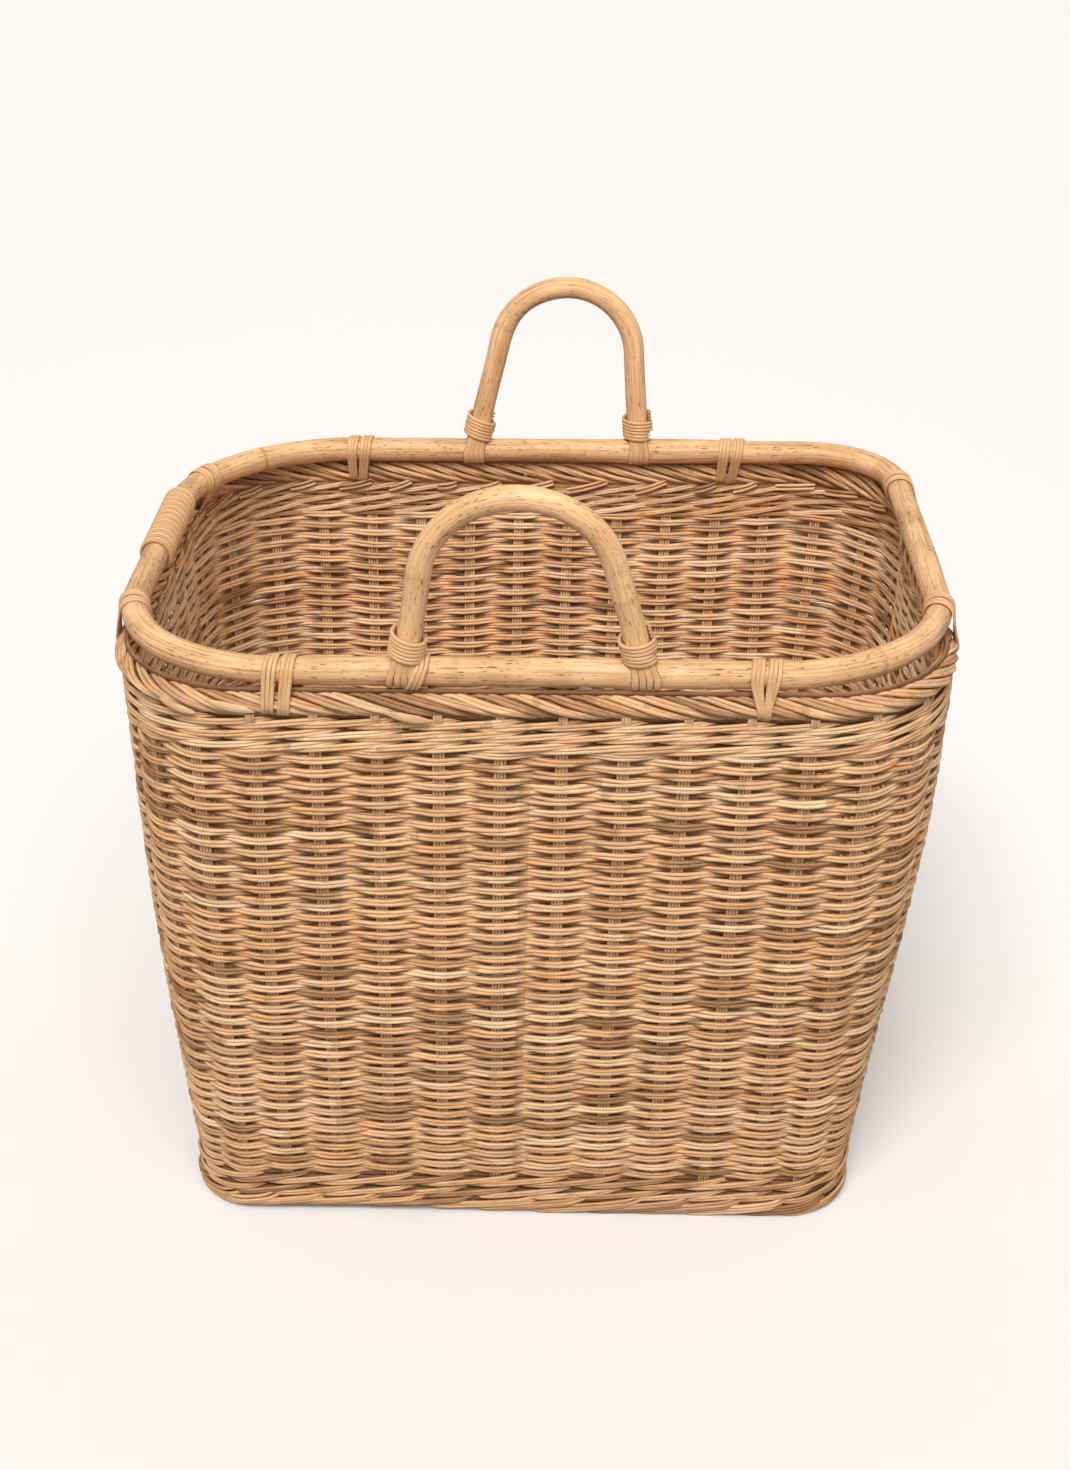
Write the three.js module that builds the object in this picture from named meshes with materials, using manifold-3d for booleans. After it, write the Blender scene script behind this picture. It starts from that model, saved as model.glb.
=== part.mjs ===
// A woven rattan storage basket with a lashed rim hoop and two bent handles.
// Millimetres, +Z up. The origin is on the floor under the middle of the rim, +X runs along the
// front and +Y points to the back.
import * as THREE from "three";
import Module from "manifold-3d";
import { mergeVertices } from "three/addons/utils/BufferGeometryUtils.js";

const wasm = await Module();
wasm.setup();

// Clearances between pieces that touch on the real basket
const SEAT_GAP = 0.3;
const CUT_PAST = 0.6;

// Plan of the woven body, to the middle of its thickness, at the floor and at the rim
const FOOT_HALF_WIDTH = 215;
const FOOT_HALF_DEPTH = 152;
const FOOT_CORNER_RADIUS = 38;
const FOOT_SHIFT_X = -9;
const RIM_HALF_WIDTH = 247;
const RIM_HALF_DEPTH = 184;
const RIM_CORNER_RADIUS = 82;
const CORNER_STEPS = 7;

// Heights of the woven bands
const FOOT_BORDER_HEIGHT = 10.7;
const FOOT_WALE_HEIGHT = 21;
const WALL_HEIGHT = 328;
const TOP_WALE_HEIGHT = 27;
const BORDER_HEIGHT = 18.5;

// Thicknesses of the woven bands, across the wall
const FOOT_BORDER_THICKNESS = 12;
const FOOT_WALE_THICKNESS = 9.4;
const WALL_THICKNESS = 7.2;
const WALL_THICKNESS_BETWEEN_STAKES = 3.2;
const WALL_RIB_HALF_WIDTH = 5.5;
const TOP_WALE_THICKNESS = 9;
const BORDER_THICKNESS = 14;
const BAND_EDGE_ROUND = 2;

// Stakes, each a flat group of canes side by side
const STAKES_PER_QUARTER = 11;
const FIRST_CORNER_STAKE = 5;
const CORNER_POST = 6;
const STAKE_WIDTH = 7.6;
const STAKE_THICKNESS = 2.5;
const STAKE_BEND_RADIUS = 5;
const STAKE_TOP_BELOW_BORDER = 2.8;
const FRONT_SPACING_AT_FOOT = 34.5;
const SIDE_SPACING_AT_FOOT = 34;
const CORNER_SPACING_AT_FOOT = 27.5;

// Base mat, which lies on the crossed stakes
const BASE_MAT_THICKNESS = 5.4;

// Rim hoop, a bent pole, to the middle of the pole
const HOOP_INSIDE_RIM_WIDTH = 2;
const HOOP_INSIDE_RIM_DEPTH = 5;
const HOOP_HALF_WIDTH = RIM_HALF_WIDTH - HOOP_INSIDE_RIM_WIDTH;
const HOOP_HALF_DEPTH = RIM_HALF_DEPTH - HOOP_INSIDE_RIM_DEPTH;
const HOOP_RADIUS_FRONT_RIGHT = 108;
const HOOP_RADIUS_BACK_RIGHT = 64;
const HOOP_RADIUS_BACK_LEFT = 110;
const HOOP_RADIUS_FRONT_LEFT = 102;
const HOOP_POLE_RADIUS = 8.25;
const HOOP_SIDES = 12;
const HOOP_CORNER_STEPS = 8;

// Scarf joint of the hoop, on its left side
const JOINT_Y = 29;
const JOINT_LENGTH = 62;
const JOINT_PIN_RADIUS = 0.9;
const JOINT_PIN_LENGTH = 14;
const JOINT_PIN_SPACING = 22;

// Split cane that binds the joint, the handle feet and the ties
const CANE_THICKNESS = 1.3;
const JOINT_WINDING = { turns: 12, pitch: 7.8, width: 6.6, thickness: CANE_THICKNESS };
const COLLAR_WINDING = { turns: 2, pitch: 5.6, width: 4.9, thickness: 2.2 };
const COLLAR_INNER_RADIUS = 9.6;
const TIE_WINDING = { turns: 2, pitch: 9.5, width: 6, thickness: CANE_THICKNESS };
const LOOSE_ON_HOOP = 0.2;
const TIE_LOOSE_ON_BORDER = 1.2;
const BOUND_SIDES = 16;
const HULL_SLACK = 0.5;

// Handles, each a pole bent to an arch that leans out with the wall
const HANDLE_POLE_RADIUS = 7.25;
const HANDLE_SIDES = 12;
const HANDLE_ARC_STEPS = 14;
const HANDLE_LEAN = 4;
const FRONT_HANDLE = { x: -8, arcRadius: 56, height: 110, leftSplay: 9.5, rightSplay: 15 };
const BACK_HANDLE = { x: 15, arcRadius: 47.5, height: 117, leftSplay: 13.5, rightSplay: 4 };
const STIRRUP_WIDTH = 14;
const STIRRUP_RISE = 21;
const STIRRUP_LEAVES_LEG = 10;
const STIRRUP_STEPS = 10;
const NAIL_RADIUS = 0.9;
const NAIL_HEAD_RADIUS = 1.9;
const NAIL_HEAD_HEIGHT = 1;
const NAIL_DEPTH_IN_LEG = 13;
const NAIL_SIDES = 6;

// Ties, each at a place on the hoop given as shares of its half width and half depth
const TIES = [
  { name: "tie_front_left", across: -0.584, back: -1 },
  { name: "tie_front_right", across: 0.543, back: -1 },
  { name: "tie_right_front", across: 1, back: -0.503 },
  { name: "tie_right_back", across: 1, back: 0.637 },
  { name: "tie_back_right", across: 0.547, back: 1 },
  { name: "tie_back_left", across: -0.539, back: 1 },
  { name: "tie_left_back", across: -1, back: 0.67 },
  { name: "tie_left_front", across: -1, back: -0.547 },
];

// Heights that follow from the stack of bands
const footWaleBottom = FOOT_BORDER_HEIGHT + SEAT_GAP;
const footWaleTop = footWaleBottom + FOOT_WALE_HEIGHT;
const wallBottom = footWaleTop + SEAT_GAP;
const wallTop = wallBottom + WALL_HEIGHT;
const topWaleBottom = wallTop + SEAT_GAP;
const topWaleTop = topWaleBottom + TOP_WALE_HEIGHT;
const borderBottom = topWaleTop + SEAT_GAP;
const borderTop = borderBottom + BORDER_HEIGHT;
const caneRoom = CANE_THICKNESS + 2 * SEAT_GAP;
const hoopZ = borderTop + caneRoom + HOOP_POLE_RADIUS;
const stakeTop = borderBottom - STAKE_TOP_BELOW_BORDER;
const lowRunZ = footWaleBottom + STAKE_THICKNESS / 2;
const highRunZ = lowRunZ + STAKE_THICKNESS + SEAT_GAP;
const baseMatBottom = highRunZ + STAKE_THICKNESS / 2 + SEAT_GAP;

const UP = new THREE.Vector3(0, 0, 1);
const vec = (x, y, z) => new THREE.Vector3(x, y, z);
const radians = THREE.MathUtils.degToRad;
const lerp = THREE.MathUtils.lerp;

// Materials
const rattan = (color, roughness) =>
  new THREE.MeshStandardMaterial({ color, roughness, metalness: 0 });
const poleMaterial = rattan(0xd9ae78, 0.5);
const caneMaterial = rattan(0xe0b885, 0.45);
const weaveMaterial = rattan(0xc3946a, 0.65);
const stakeMaterial = rattan(0xb98a5c, 0.65);
const nailMaterial = new THREE.MeshStandardMaterial({
  color: 0x8f8f8c,
  roughness: 0.4,
  metalness: 0.9,
});

// Six times the signed volume of a closed triangle mesh.
function signedVolume(points, triangles) {
  let sum = 0;
  for (let i = 0; i < triangles.length; i += 3) {
    const [a, b, c] = [0, 1, 2].map((k) => points[triangles[i + k]]);
    sum += a.dot(b.clone().cross(c));
  }
  return sum;
}

// A closed solid swept through stations, each a ring of points of one convex section.
function sweep(stations, closed = false) {
  const sides = stations[0].length;
  const points = stations.flat();
  const triangles = [];
  const spans = closed ? stations.length : stations.length - 1;
  for (let i = 0; i < spans; i++) {
    const a = i * sides;
    const b = ((i + 1) % stations.length) * sides;
    for (let k = 0; k < sides; k++) {
      const next = (k + 1) % sides;
      triangles.push(a + k, a + next, b + next, a + k, b + next, b + k);
    }
  }
  if (!closed) {
    const last = (stations.length - 1) * sides;
    for (let k = 1; k < sides - 1; k++) {
      triangles.push(0, k + 1, k, last, last + k, last + k + 1);
    }
  }
  if (signedVolume(points, triangles) < 0) triangles.reverse();
  const geometry = new THREE.BufferGeometry().setFromPoints(points);
  geometry.setIndex(triangles);
  return geometry;
}

// A three.js geometry as a solid that can be cut.
function solidOf(geometry) {
  const plain = geometry.clone();
  plain.deleteAttribute("normal");
  plain.deleteAttribute("uv");
  const merged = mergeVertices(plain, 1e-4);
  const mesh = new wasm.Mesh({
    numProp: 3,
    vertProperties: new Float32Array(merged.attributes.position.array),
    triVerts: new Uint32Array(merged.index.array),
  });
  return new wasm.Manifold(mesh);
}

// A cut solid as a three.js geometry.
function geometryOf(solid) {
  const mesh = solid.getMesh();
  const geometry = new THREE.BufferGeometry();
  geometry.setAttribute("position", new THREE.BufferAttribute(mesh.vertProperties, 3));
  geometry.setIndex(new THREE.BufferAttribute(mesh.triVerts, 1));
  return geometry;
}

const cut = (geometry, cutters) =>
  geometryOf(cutters.reduce((solid, c) => solid.subtract(solidOf(c)), solidOf(geometry)));

const basket = new THREE.Group();

function add(name, geometry, material) {
  geometry.computeVertexNormals();
  const mesh = new THREE.Mesh(geometry, material);
  mesh.name = name;
  basket.add(mesh);
}

// Plan outlines: rounded rectangles whose corners go front right, back right, back left, front left

const CORNERS = [
  { sx: 1, sy: -1, start: -90 },
  { sx: 1, sy: 1, start: 0 },
  { sx: -1, sy: 1, start: 90 },
  { sx: -1, sy: -1, start: 180 },
];

// The woven body's plan at a height.
function bodyPlan(z) {
  const t = z / borderTop;
  const radius = lerp(FOOT_CORNER_RADIUS, RIM_CORNER_RADIUS, t);
  return {
    halfWidth: lerp(FOOT_HALF_WIDTH, RIM_HALF_WIDTH, t),
    halfDepth: lerp(FOOT_HALF_DEPTH, RIM_HALF_DEPTH, t),
    radii: [radius, radius, radius, radius],
    shiftX: lerp(FOOT_SHIFT_X, 0, t),
  };
}

const hoopPlan = {
  halfWidth: HOOP_HALF_WIDTH,
  halfDepth: HOOP_HALF_DEPTH,
  radii: [
    HOOP_RADIUS_FRONT_RIGHT,
    HOOP_RADIUS_BACK_RIGHT,
    HOOP_RADIUS_BACK_LEFT,
    HOOP_RADIUS_FRONT_LEFT,
  ],
  shiftX: 0,
};

// Points of an outline with their outward normals, at one height.
function outline(plan, z, steps) {
  const found = [];
  CORNERS.forEach(({ sx, sy, start }, i) => {
    const r = plan.radii[i];
    for (let k = 0; k <= steps; k++) {
      const angle = radians(start + (90 * k) / steps);
      const normal = vec(Math.cos(angle), Math.sin(angle), 0);
      const centre = vec(sx * (plan.halfWidth - r) + plan.shiftX, sy * (plan.halfDepth - r), z);
      found.push({ point: centre.addScaledVector(normal, r), normal });
    }
  });
  return found;
}

// The point and normal at a length along a quarter of the outline, from the middle of the front.
function alongQuarter(plan, length) {
  const r = plan.radii[0];
  const front = plan.halfWidth - r;
  const bend = (r * Math.PI) / 2;
  if (length < front) return { x: length, y: -plan.halfDepth, normal: vec(0, -1, 0) };
  if (length > front + bend) {
    const up = length - front - bend;
    return { x: plan.halfWidth, y: r - plan.halfDepth + up, normal: vec(1, 0, 0) };
  }
  const angle = (length - front) / r;
  const normal = vec(Math.sin(angle), -Math.cos(angle), 0);
  return { x: front + r * normal.x, y: r - plan.halfDepth + r * normal.y, normal };
}

const quarterLength = (plan) =>
  plan.halfWidth + plan.halfDepth - 2 * plan.radii[0] + (plan.radii[0] * Math.PI) / 2;

// Woven bands: closed rings of one section, given as [offset from the middle of the wall, height]

function ringBand(section) {
  const levels = section.map(([offset, z]) =>
    outline(bodyPlan(z), z, CORNER_STEPS).map(({ point, normal }) =>
      point.addScaledVector(normal, offset),
    ),
  );
  return sweep(
    levels[0].map((_, i) => levels.map((level) => level[i])),
    true,
  );
}

// A border: its four edges are cut back by the edge round.
function roundedBand(bottom, top, thickness) {
  const half = thickness / 2;
  const flat = half - BAND_EDGE_ROUND;
  const low = bottom + BAND_EDGE_ROUND;
  const high = top - BAND_EDGE_ROUND;
  return ringBand([
    [half, low],
    [half, high],
    [flat, top],
    [-flat, top],
    [-half, high],
    [-half, low],
    [-flat, bottom],
    [flat, bottom],
  ]);
}

// A wale: sharp edges, because it meets its neighbours face to face.
function plainBand(bottom, top, thickness) {
  const half = thickness / 2;
  return ringBand([
    [half, bottom],
    [half, top],
    [-half, top],
    [-half, bottom],
  ]);
}

// Stakes

const rimPlan = bodyPlan(borderTop);
const footPlan = bodyPlan(0);
const stakeSpacing = quarterLength(rimPlan) / STAKES_PER_QUARTER;

// How far along a quarter of the foot a stake stands. The stakes crowd together at the corners.
function footStake(index) {
  if (index < 0) return -footStake(-1 - index);
  const fromFront = (FIRST_CORNER_STAKE - 0.5) * FRONT_SPACING_AT_FOOT;
  if (index < FIRST_CORNER_STAKE) return (index + 0.5) * FRONT_SPACING_AT_FOOT;
  if (index < FIRST_CORNER_STAKE + 3) {
    return fromFront + (index + 1 - FIRST_CORNER_STAKE) * CORNER_SPACING_AT_FOOT;
  }
  return quarterLength(footPlan) - (STAKES_PER_QUARTER - index - 0.5) * SIDE_SPACING_AT_FOOT;
}

// The same for a place between stakes, counted in stakes from the middle of the front.
function footLength(place) {
  const before = Math.floor(place - 0.5);
  return lerp(footStake(before), footStake(before + 1), place - 0.5 - before);
}

// A line up the wall at a place, in the quarter that sx and sy name.
function wallLine(place, sx, sy) {
  const rim = alongQuarter(rimPlan, place * stakeSpacing);
  const foot = alongQuarter(footPlan, footLength(place));
  const put = ({ x, y }, shift, z) => vec(sx * x + shift, -sy * y, z);
  const turn = (n) => vec(sx * n.x, -sy * n.y, 0);
  const low = put(foot, FOOT_SHIFT_X, 0);
  const high = put(rim, 0, borderTop);
  return {
    at: (z) => low.clone().lerp(high, z / borderTop),
    normal: turn(foot.normal).add(turn(rim.normal)).normalize(),
  };
}

const stakeLine = (index, sx, sy) => wallLine(index + 0.5, sx, sy);

// The wall bulges where the weavers pass round a stake and is thin between the stakes.
function ribbedWall(bottom, top) {
  const uprights = CORNERS.flatMap(({ sx, sy }, i) => {
    const indices = Array.from({ length: STAKES_PER_QUARTER }, (_, index) => index);
    const step = i % 2 ? -0.5 : 0.5;
    if (i % 2) indices.reverse();
    return indices.flatMap((index) => {
      const rib = { line: stakeLine(index, sx, sy), half: WALL_THICKNESS / 2 };
      const valley = wallLine(index + 0.5 + step, sx, sy);
      return [
        { ...rib, side: -WALL_RIB_HALF_WIDTH },
        { ...rib, side: WALL_RIB_HALF_WIDTH },
        { line: valley, half: WALL_THICKNESS_BETWEEN_STAKES / 2, side: 0 },
      ];
    });
  });
  const stations = uprights.map(({ line, half, side }) => {
    const along = UP.clone().cross(line.normal);
    const point = (offset, z) =>
      line.at(z).addScaledVector(line.normal, offset).addScaledVector(along, side);
    return [point(half, bottom), point(half, top), point(-half, top), point(-half, bottom)];
  });
  return sweep(stations, true);
}

// A rectangle of a ribbon's section: across the ribbon, then through it from inside to outside.
function ribbonRing(point, across, through, halfWidth, inside, outside) {
  const corner = (a, t) => point.clone().addScaledVector(across, a).addScaledVector(through, t);
  return [
    corner(-halfWidth, -inside),
    corner(halfWidth, -inside),
    corner(halfWidth, outside),
    corner(-halfWidth, outside),
  ];
}

// A straight length of a stake between two heights. The grow values make it a cutter.
function stakeLeg(line, bottom, top, grow, growOut = grow) {
  const half = STAKE_THICKNESS / 2;
  const across = line.normal.clone().cross(UP);
  const ring = (z) =>
    ribbonRing(line.at(z), across, line.normal, STAKE_WIDTH / 2 + grow, half + grow, half + growOut);
  return sweep([ring(bottom), ring(top)]);
}

// A hairpin stake: down one wall, across under the base mat and up the opposite wall.
function hairpin(first, second, runZ, top, grow) {
  const halfWidth = STAKE_WIDTH / 2 + grow;
  const half = STAKE_THICKNESS / 2 + grow;
  const bendZ = runZ + STAKE_BEND_RADIUS;
  const run = second.at(bendZ).sub(first.at(bendZ)).setZ(0).normalize();
  const across = run.clone().cross(UP);
  const leg = (line, inward) => {
    const wide = line.normal.clone().cross(UP);
    wide.multiplyScalar(Math.sign(wide.dot(across)));
    const stations = [top, bendZ].map((z) =>
      ribbonRing(line.at(z), wide, line.normal, halfWidth, half, half),
    );
    for (const degrees of [45, 90]) {
      const a = radians(degrees);
      const point = line
        .at(bendZ)
        .addScaledVector(inward, STAKE_BEND_RADIUS * (1 - Math.cos(a)))
        .addScaledVector(UP, -STAKE_BEND_RADIUS * Math.sin(a));
      const out = inward.clone().multiplyScalar(-Math.cos(a)).addScaledVector(UP, -Math.sin(a));
      stations.push(ribbonRing(point, across, out, halfWidth, half, half));
    }
    return stations;
  };
  return sweep([...leg(first, run), ...leg(second, run.clone().negate()).reverse()]);
}

const stakes = [];
for (let index = 0; index < STAKES_PER_QUARTER; index++) {
  const number = String(index + 1).padStart(2, "0");
  if (index === CORNER_POST) {
    CORNERS.forEach(({ sx, sy }) => {
      const name = `corner_post_${sy < 0 ? "front" : "back"}_${sx < 0 ? "left" : "right"}`;
      const line = stakeLine(index, sx, sy);
      const build = (grow, top) => stakeLeg(line, footWaleBottom - grow, top, grow);
      stakes.push({ name, lines: [line], build });
    });
  } else if (index < CORNER_POST) {
    [-1, 1].forEach((sx) => {
      const lines = [stakeLine(index, sx, -1), stakeLine(index, sx, 1)];
      const build = (grow, top) => hairpin(lines[0], lines[1], lowRunZ, top, grow);
      stakes.push({ name: `depth_stake_${sx < 0 ? "left" : "right"}_${number}`, lines, build });
    });
  } else {
    [-1, 1].forEach((sy) => {
      const lines = [stakeLine(index, -1, sy), stakeLine(index, 1, sy)];
      const build = (grow, top) => hairpin(lines[0], lines[1], highRunZ, top, grow);
      stakes.push({ name: `width_stake_${sy < 0 ? "front" : "back"}_${number}`, lines, build });
    });
  }
}
const stakeLines = stakes.flatMap((stake) => stake.lines);

// Split cane wound round something: a strip that follows the hull of what it binds

// The order in which a convex hull visits points given as [u, v], counter-clockwise.
function hullOrder(points) {
  const indices = points.map((_, i) => i);
  indices.sort((i, k) => points[i][0] - points[k][0] || points[i][1] - points[k][1]);
  const turn = (i, k, m) => {
    const [o, a, b] = [points[i], points[k], points[m]];
    return (a[0] - o[0]) * (b[1] - o[1]) - (a[1] - o[1]) * (b[0] - o[0]);
  };
  const half = (list) => {
    const kept = [];
    for (const i of list) {
      while (kept.length > 1 && turn(kept.at(-2), kept.at(-1), i) <= HULL_SLACK) kept.pop();
      kept.push(i);
    }
    return kept.slice(0, -1);
  };
  return [...half(indices), ...half(indices.reverse())];
}

const circle = (radius, count = BOUND_SIDES) =>
  Array.from({ length: count }, (_, i) => {
    const angle = (2 * Math.PI * i) / count;
    return [radius * Math.cos(angle), radius * Math.sin(angle)];
  });

// A corner of a hull with its outward normal and how far a mitre stretches it.
function mitre(ring, i) {
  const edgeNormal = (a, b) => {
    const length = Math.hypot(b[0] - a[0], b[1] - a[1]);
    return [(b[1] - a[1]) / length, (a[0] - b[0]) / length];
  };
  const before = edgeNormal(ring.at(i - 1), ring[i]);
  const after = edgeNormal(ring[i], ring[(i + 1) % ring.length]);
  const sum = [before[0] + after[0], before[1] + after[1]];
  const size = Math.hypot(sum[0], sum[1]);
  return { n: [sum[0] / size, sum[1] / size], stretch: 2 / size };
}

// The least gap between neighbouring turns, measured on the strip's middle points.
function reportGap(name, centres, perTurn, width) {
  let least = Infinity;
  for (let i = 0; i < centres.length; i++) {
    for (let k = i + Math.floor(perTurn / 2); k < centres.length; k++) {
      least = Math.min(least, centres[i].distanceTo(centres[k]));
    }
  }
  console.log(`${name}: least gap between turns ${(least - width).toFixed(2)} mm`);
}

// One ring of a split cane's section, flat inside and domed outside.
function caneRing(point, across, through, width, thickness) {
  const half = width / 2;
  const thick = thickness / 2;
  const corner = (a, t) => point.clone().addScaledVector(across, a).addScaledVector(through, t);
  return [
    corner(-half, -thick),
    corner(half, -thick),
    corner(half, 0),
    corner(half / 2, thick),
    corner(-half / 2, thick),
    corner(-half, 0),
  ];
}

// A cane wound round a bound section. Both functions take a place along the winding: one gives
// the frame there, with u and v across and w along, and the other the section's points.
function winding(name, frameAt, boundAt, { turns, pitch, width, thickness }) {
  const order = hullOrder(boundAt(0));
  const steps = turns * order.length;
  const centres = [];
  const rings = [];
  for (let i = 0; i <= steps; i++) {
    const along = (i / order.length - turns / 2) * pitch;
    const frame = frameAt(along);
    const bound = boundAt(along);
    const ring = order.map((index) => bound[index]);
    const [u, v] = ring[i % ring.length];
    const { n, stretch } = mitre(ring, i % ring.length);
    const out = frame.u.clone().multiplyScalar(n[0]).addScaledVector(frame.v, n[1]);
    const centre = frame.origin
      .clone()
      .addScaledVector(frame.u, u)
      .addScaledVector(frame.v, v)
      .addScaledVector(out, (SEAT_GAP + thickness / 2) * stretch);
    centres.push(centre);
    rings.push(caneRing(centre, frame.w, out, width, thickness * stretch));
  }
  reportGap(name, centres, order.length, width);
  return sweep(rings);
}

// Rim hoop and its joint

const hoopOutline = outline(hoopPlan, hoopZ, HOOP_CORNER_STEPS);

function hoopRing(point, normal, radius) {
  return circle(radius, HOOP_SIDES).map(([u, v]) =>
    point.clone().addScaledVector(normal, u).addScaledVector(UP, v),
  );
}

// The place on the hoop nearest to a point, with its outward normal and its direction.
function onHoop(x, y) {
  const wanted = vec(x, y, hoopZ);
  let best = null;
  hoopOutline.forEach((a, i) => {
    const b = hoopOutline[(i + 1) % hoopOutline.length];
    const span = b.point.clone().sub(a.point);
    const along = wanted.clone().sub(a.point).dot(span) / span.lengthSq();
    const share = THREE.MathUtils.clamp(along, 0, 1);
    const point = a.point.clone().addScaledVector(span, share);
    const distance = point.distanceTo(wanted);
    if (best && distance >= best.distance) return;
    best = { point, distance, normal: a.normal.clone().lerp(b.normal, share).normalize() };
  });
  return { ...best, along: UP.clone().cross(best.normal) };
}

const jointPlace = onHoop(-HOOP_HALF_WIDTH, JOINT_Y);
const scarfCut = new THREE.BoxGeometry(SEAT_GAP, Math.hypot(JOINT_LENGTH, 20), 3 * HOOP_POLE_RADIUS);
scarfCut.rotateZ(Math.atan2(2.2 * HOOP_POLE_RADIUS, JOINT_LENGTH));
scarfCut.translate(jointPlace.point.x, jointPlace.point.y, hoopZ);

const pinYs = [-JOINT_PIN_SPACING / 2, JOINT_PIN_SPACING / 2].map((y) => JOINT_Y + y);

function jointPin(y, grow) {
  const pin = new THREE.CylinderGeometry(
    JOINT_PIN_RADIUS + grow,
    JOINT_PIN_RADIUS + grow,
    grow ? 3 * HOOP_POLE_RADIUS : JOINT_PIN_LENGTH,
    NAIL_SIDES,
  );
  pin.rotateZ(Math.PI / 2);
  pin.translate(-HOOP_HALF_WIDTH, y, hoopZ);
  return pin;
}

// Handles

// The middle line of an arch in its own plane, from the left foot over the top to the right foot.
function archLine({ x, arcRadius, height, leftSplay, rightSplay }, footHeight) {
  const centre = height - arcRadius;
  const point = (degrees) => {
    const a = radians(degrees);
    return [x + arcRadius * Math.cos(a), centre + arcRadius * Math.sin(a)];
  };
  const foot = ([px, pz], side, splay) => [
    px + side * (pz - footHeight) * Math.tan(radians(splay)),
    footHeight,
  ];
  const line = [];
  for (let i = 0; i <= HANDLE_ARC_STEPS; i++) {
    line.push(point(lerp(180 - leftSplay, rightSplay, i / HANDLE_ARC_STEPS)));
  }
  return [foot(line[0], -1, leftSplay), ...line, foot(line.at(-1), 1, rightSplay)];
}

function makeHandle(side, shape) {
  const sign = side === "front" ? -1 : 1;
  const lean = radians(HANDLE_LEAN) * sign;
  const rise = vec(0, Math.sin(lean), Math.cos(lean));
  const out = vec(1, 0, 0).cross(rise);
  const base = vec(0, sign * HOOP_HALF_DEPTH, hoopZ);
  const place = ([x, h]) => base.clone().setX(x).addScaledVector(rise, h);
  const line = archLine(shape, HOOP_POLE_RADIUS / 2);
  const points = line.map(place);
  const rings = points.map((p, i) => {
    const before = points[Math.max(i - 1, 0)];
    const after = points[Math.min(i + 1, points.length - 1)];
    const along = after.clone().sub(before).normalize();
    const flat = out.clone().cross(along);
    return circle(HANDLE_POLE_RADIUS, HANDLE_SIDES).map(([u, v]) =>
      p.clone().addScaledVector(flat, u).addScaledVector(out, v),
    );
  });
  const saddle = new THREE.CylinderGeometry(
    HOOP_POLE_RADIUS + SEAT_GAP,
    HOOP_POLE_RADIUS + SEAT_GAP,
    HOOP_HALF_WIDTH,
    2 * HOOP_SIDES,
  );
  saddle.rotateZ(Math.PI / 2);
  saddle.translate(shape.x, sign * HOOP_HALF_DEPTH, hoopZ);

  const feet = [
    { name: `${side}_left`, foot: line[0], next: line[1] },
    { name: `${side}_right`, foot: line.at(-1), next: line.at(-2) },
  ].map(({ name, foot, next }) => {
    const up = place(next).sub(place(foot)).normalize();
    return { name, up, x: foot[0] - (foot[1] / (next[1] - foot[1])) * (next[0] - foot[0]) };
  });

  const cutters = feet.map(({ x, up }) => nail(x, sign, up, SEAT_GAP));
  add(`handle_${side}`, cut(sweep(rings), [saddle, ...cutters]), poleMaterial);
  feet.forEach((foot) => bindFoot(foot, sign));
  return cutters;
}

// A nail driven up through the hoop into the end of a handle's leg.
function nail(x, sign, up, grow) {
  const profile = [
    [0, -HOOP_POLE_RADIUS + 0.6],
    [NAIL_HEAD_RADIUS + grow, -HOOP_POLE_RADIUS + 0.6],
    [NAIL_HEAD_RADIUS + grow, -HOOP_POLE_RADIUS + 0.6 + NAIL_HEAD_HEIGHT + grow],
    [NAIL_RADIUS + grow, -HOOP_POLE_RADIUS + 0.6 + NAIL_HEAD_HEIGHT + grow],
    [NAIL_RADIUS + grow, HOOP_POLE_RADIUS + NAIL_DEPTH_IN_LEG + grow],
    [0, HOOP_POLE_RADIUS + NAIL_DEPTH_IN_LEG + grow],
  ];
  if (grow) {
    profile[0][1] -= HOOP_POLE_RADIUS;
    profile[1][1] -= HOOP_POLE_RADIUS;
  }
  const shape = profile.map(([r, z]) => new THREE.Vector2(r, z));
  const body = new THREE.LatheGeometry([...shape], NAIL_SIDES);
  body.rotateX(Math.PI / 2);
  body.applyQuaternion(new THREE.Quaternion().setFromUnitVectors(UP, up));
  body.translate(x, sign * HOOP_HALF_DEPTH, hoopZ);
  return body;
}

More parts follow.
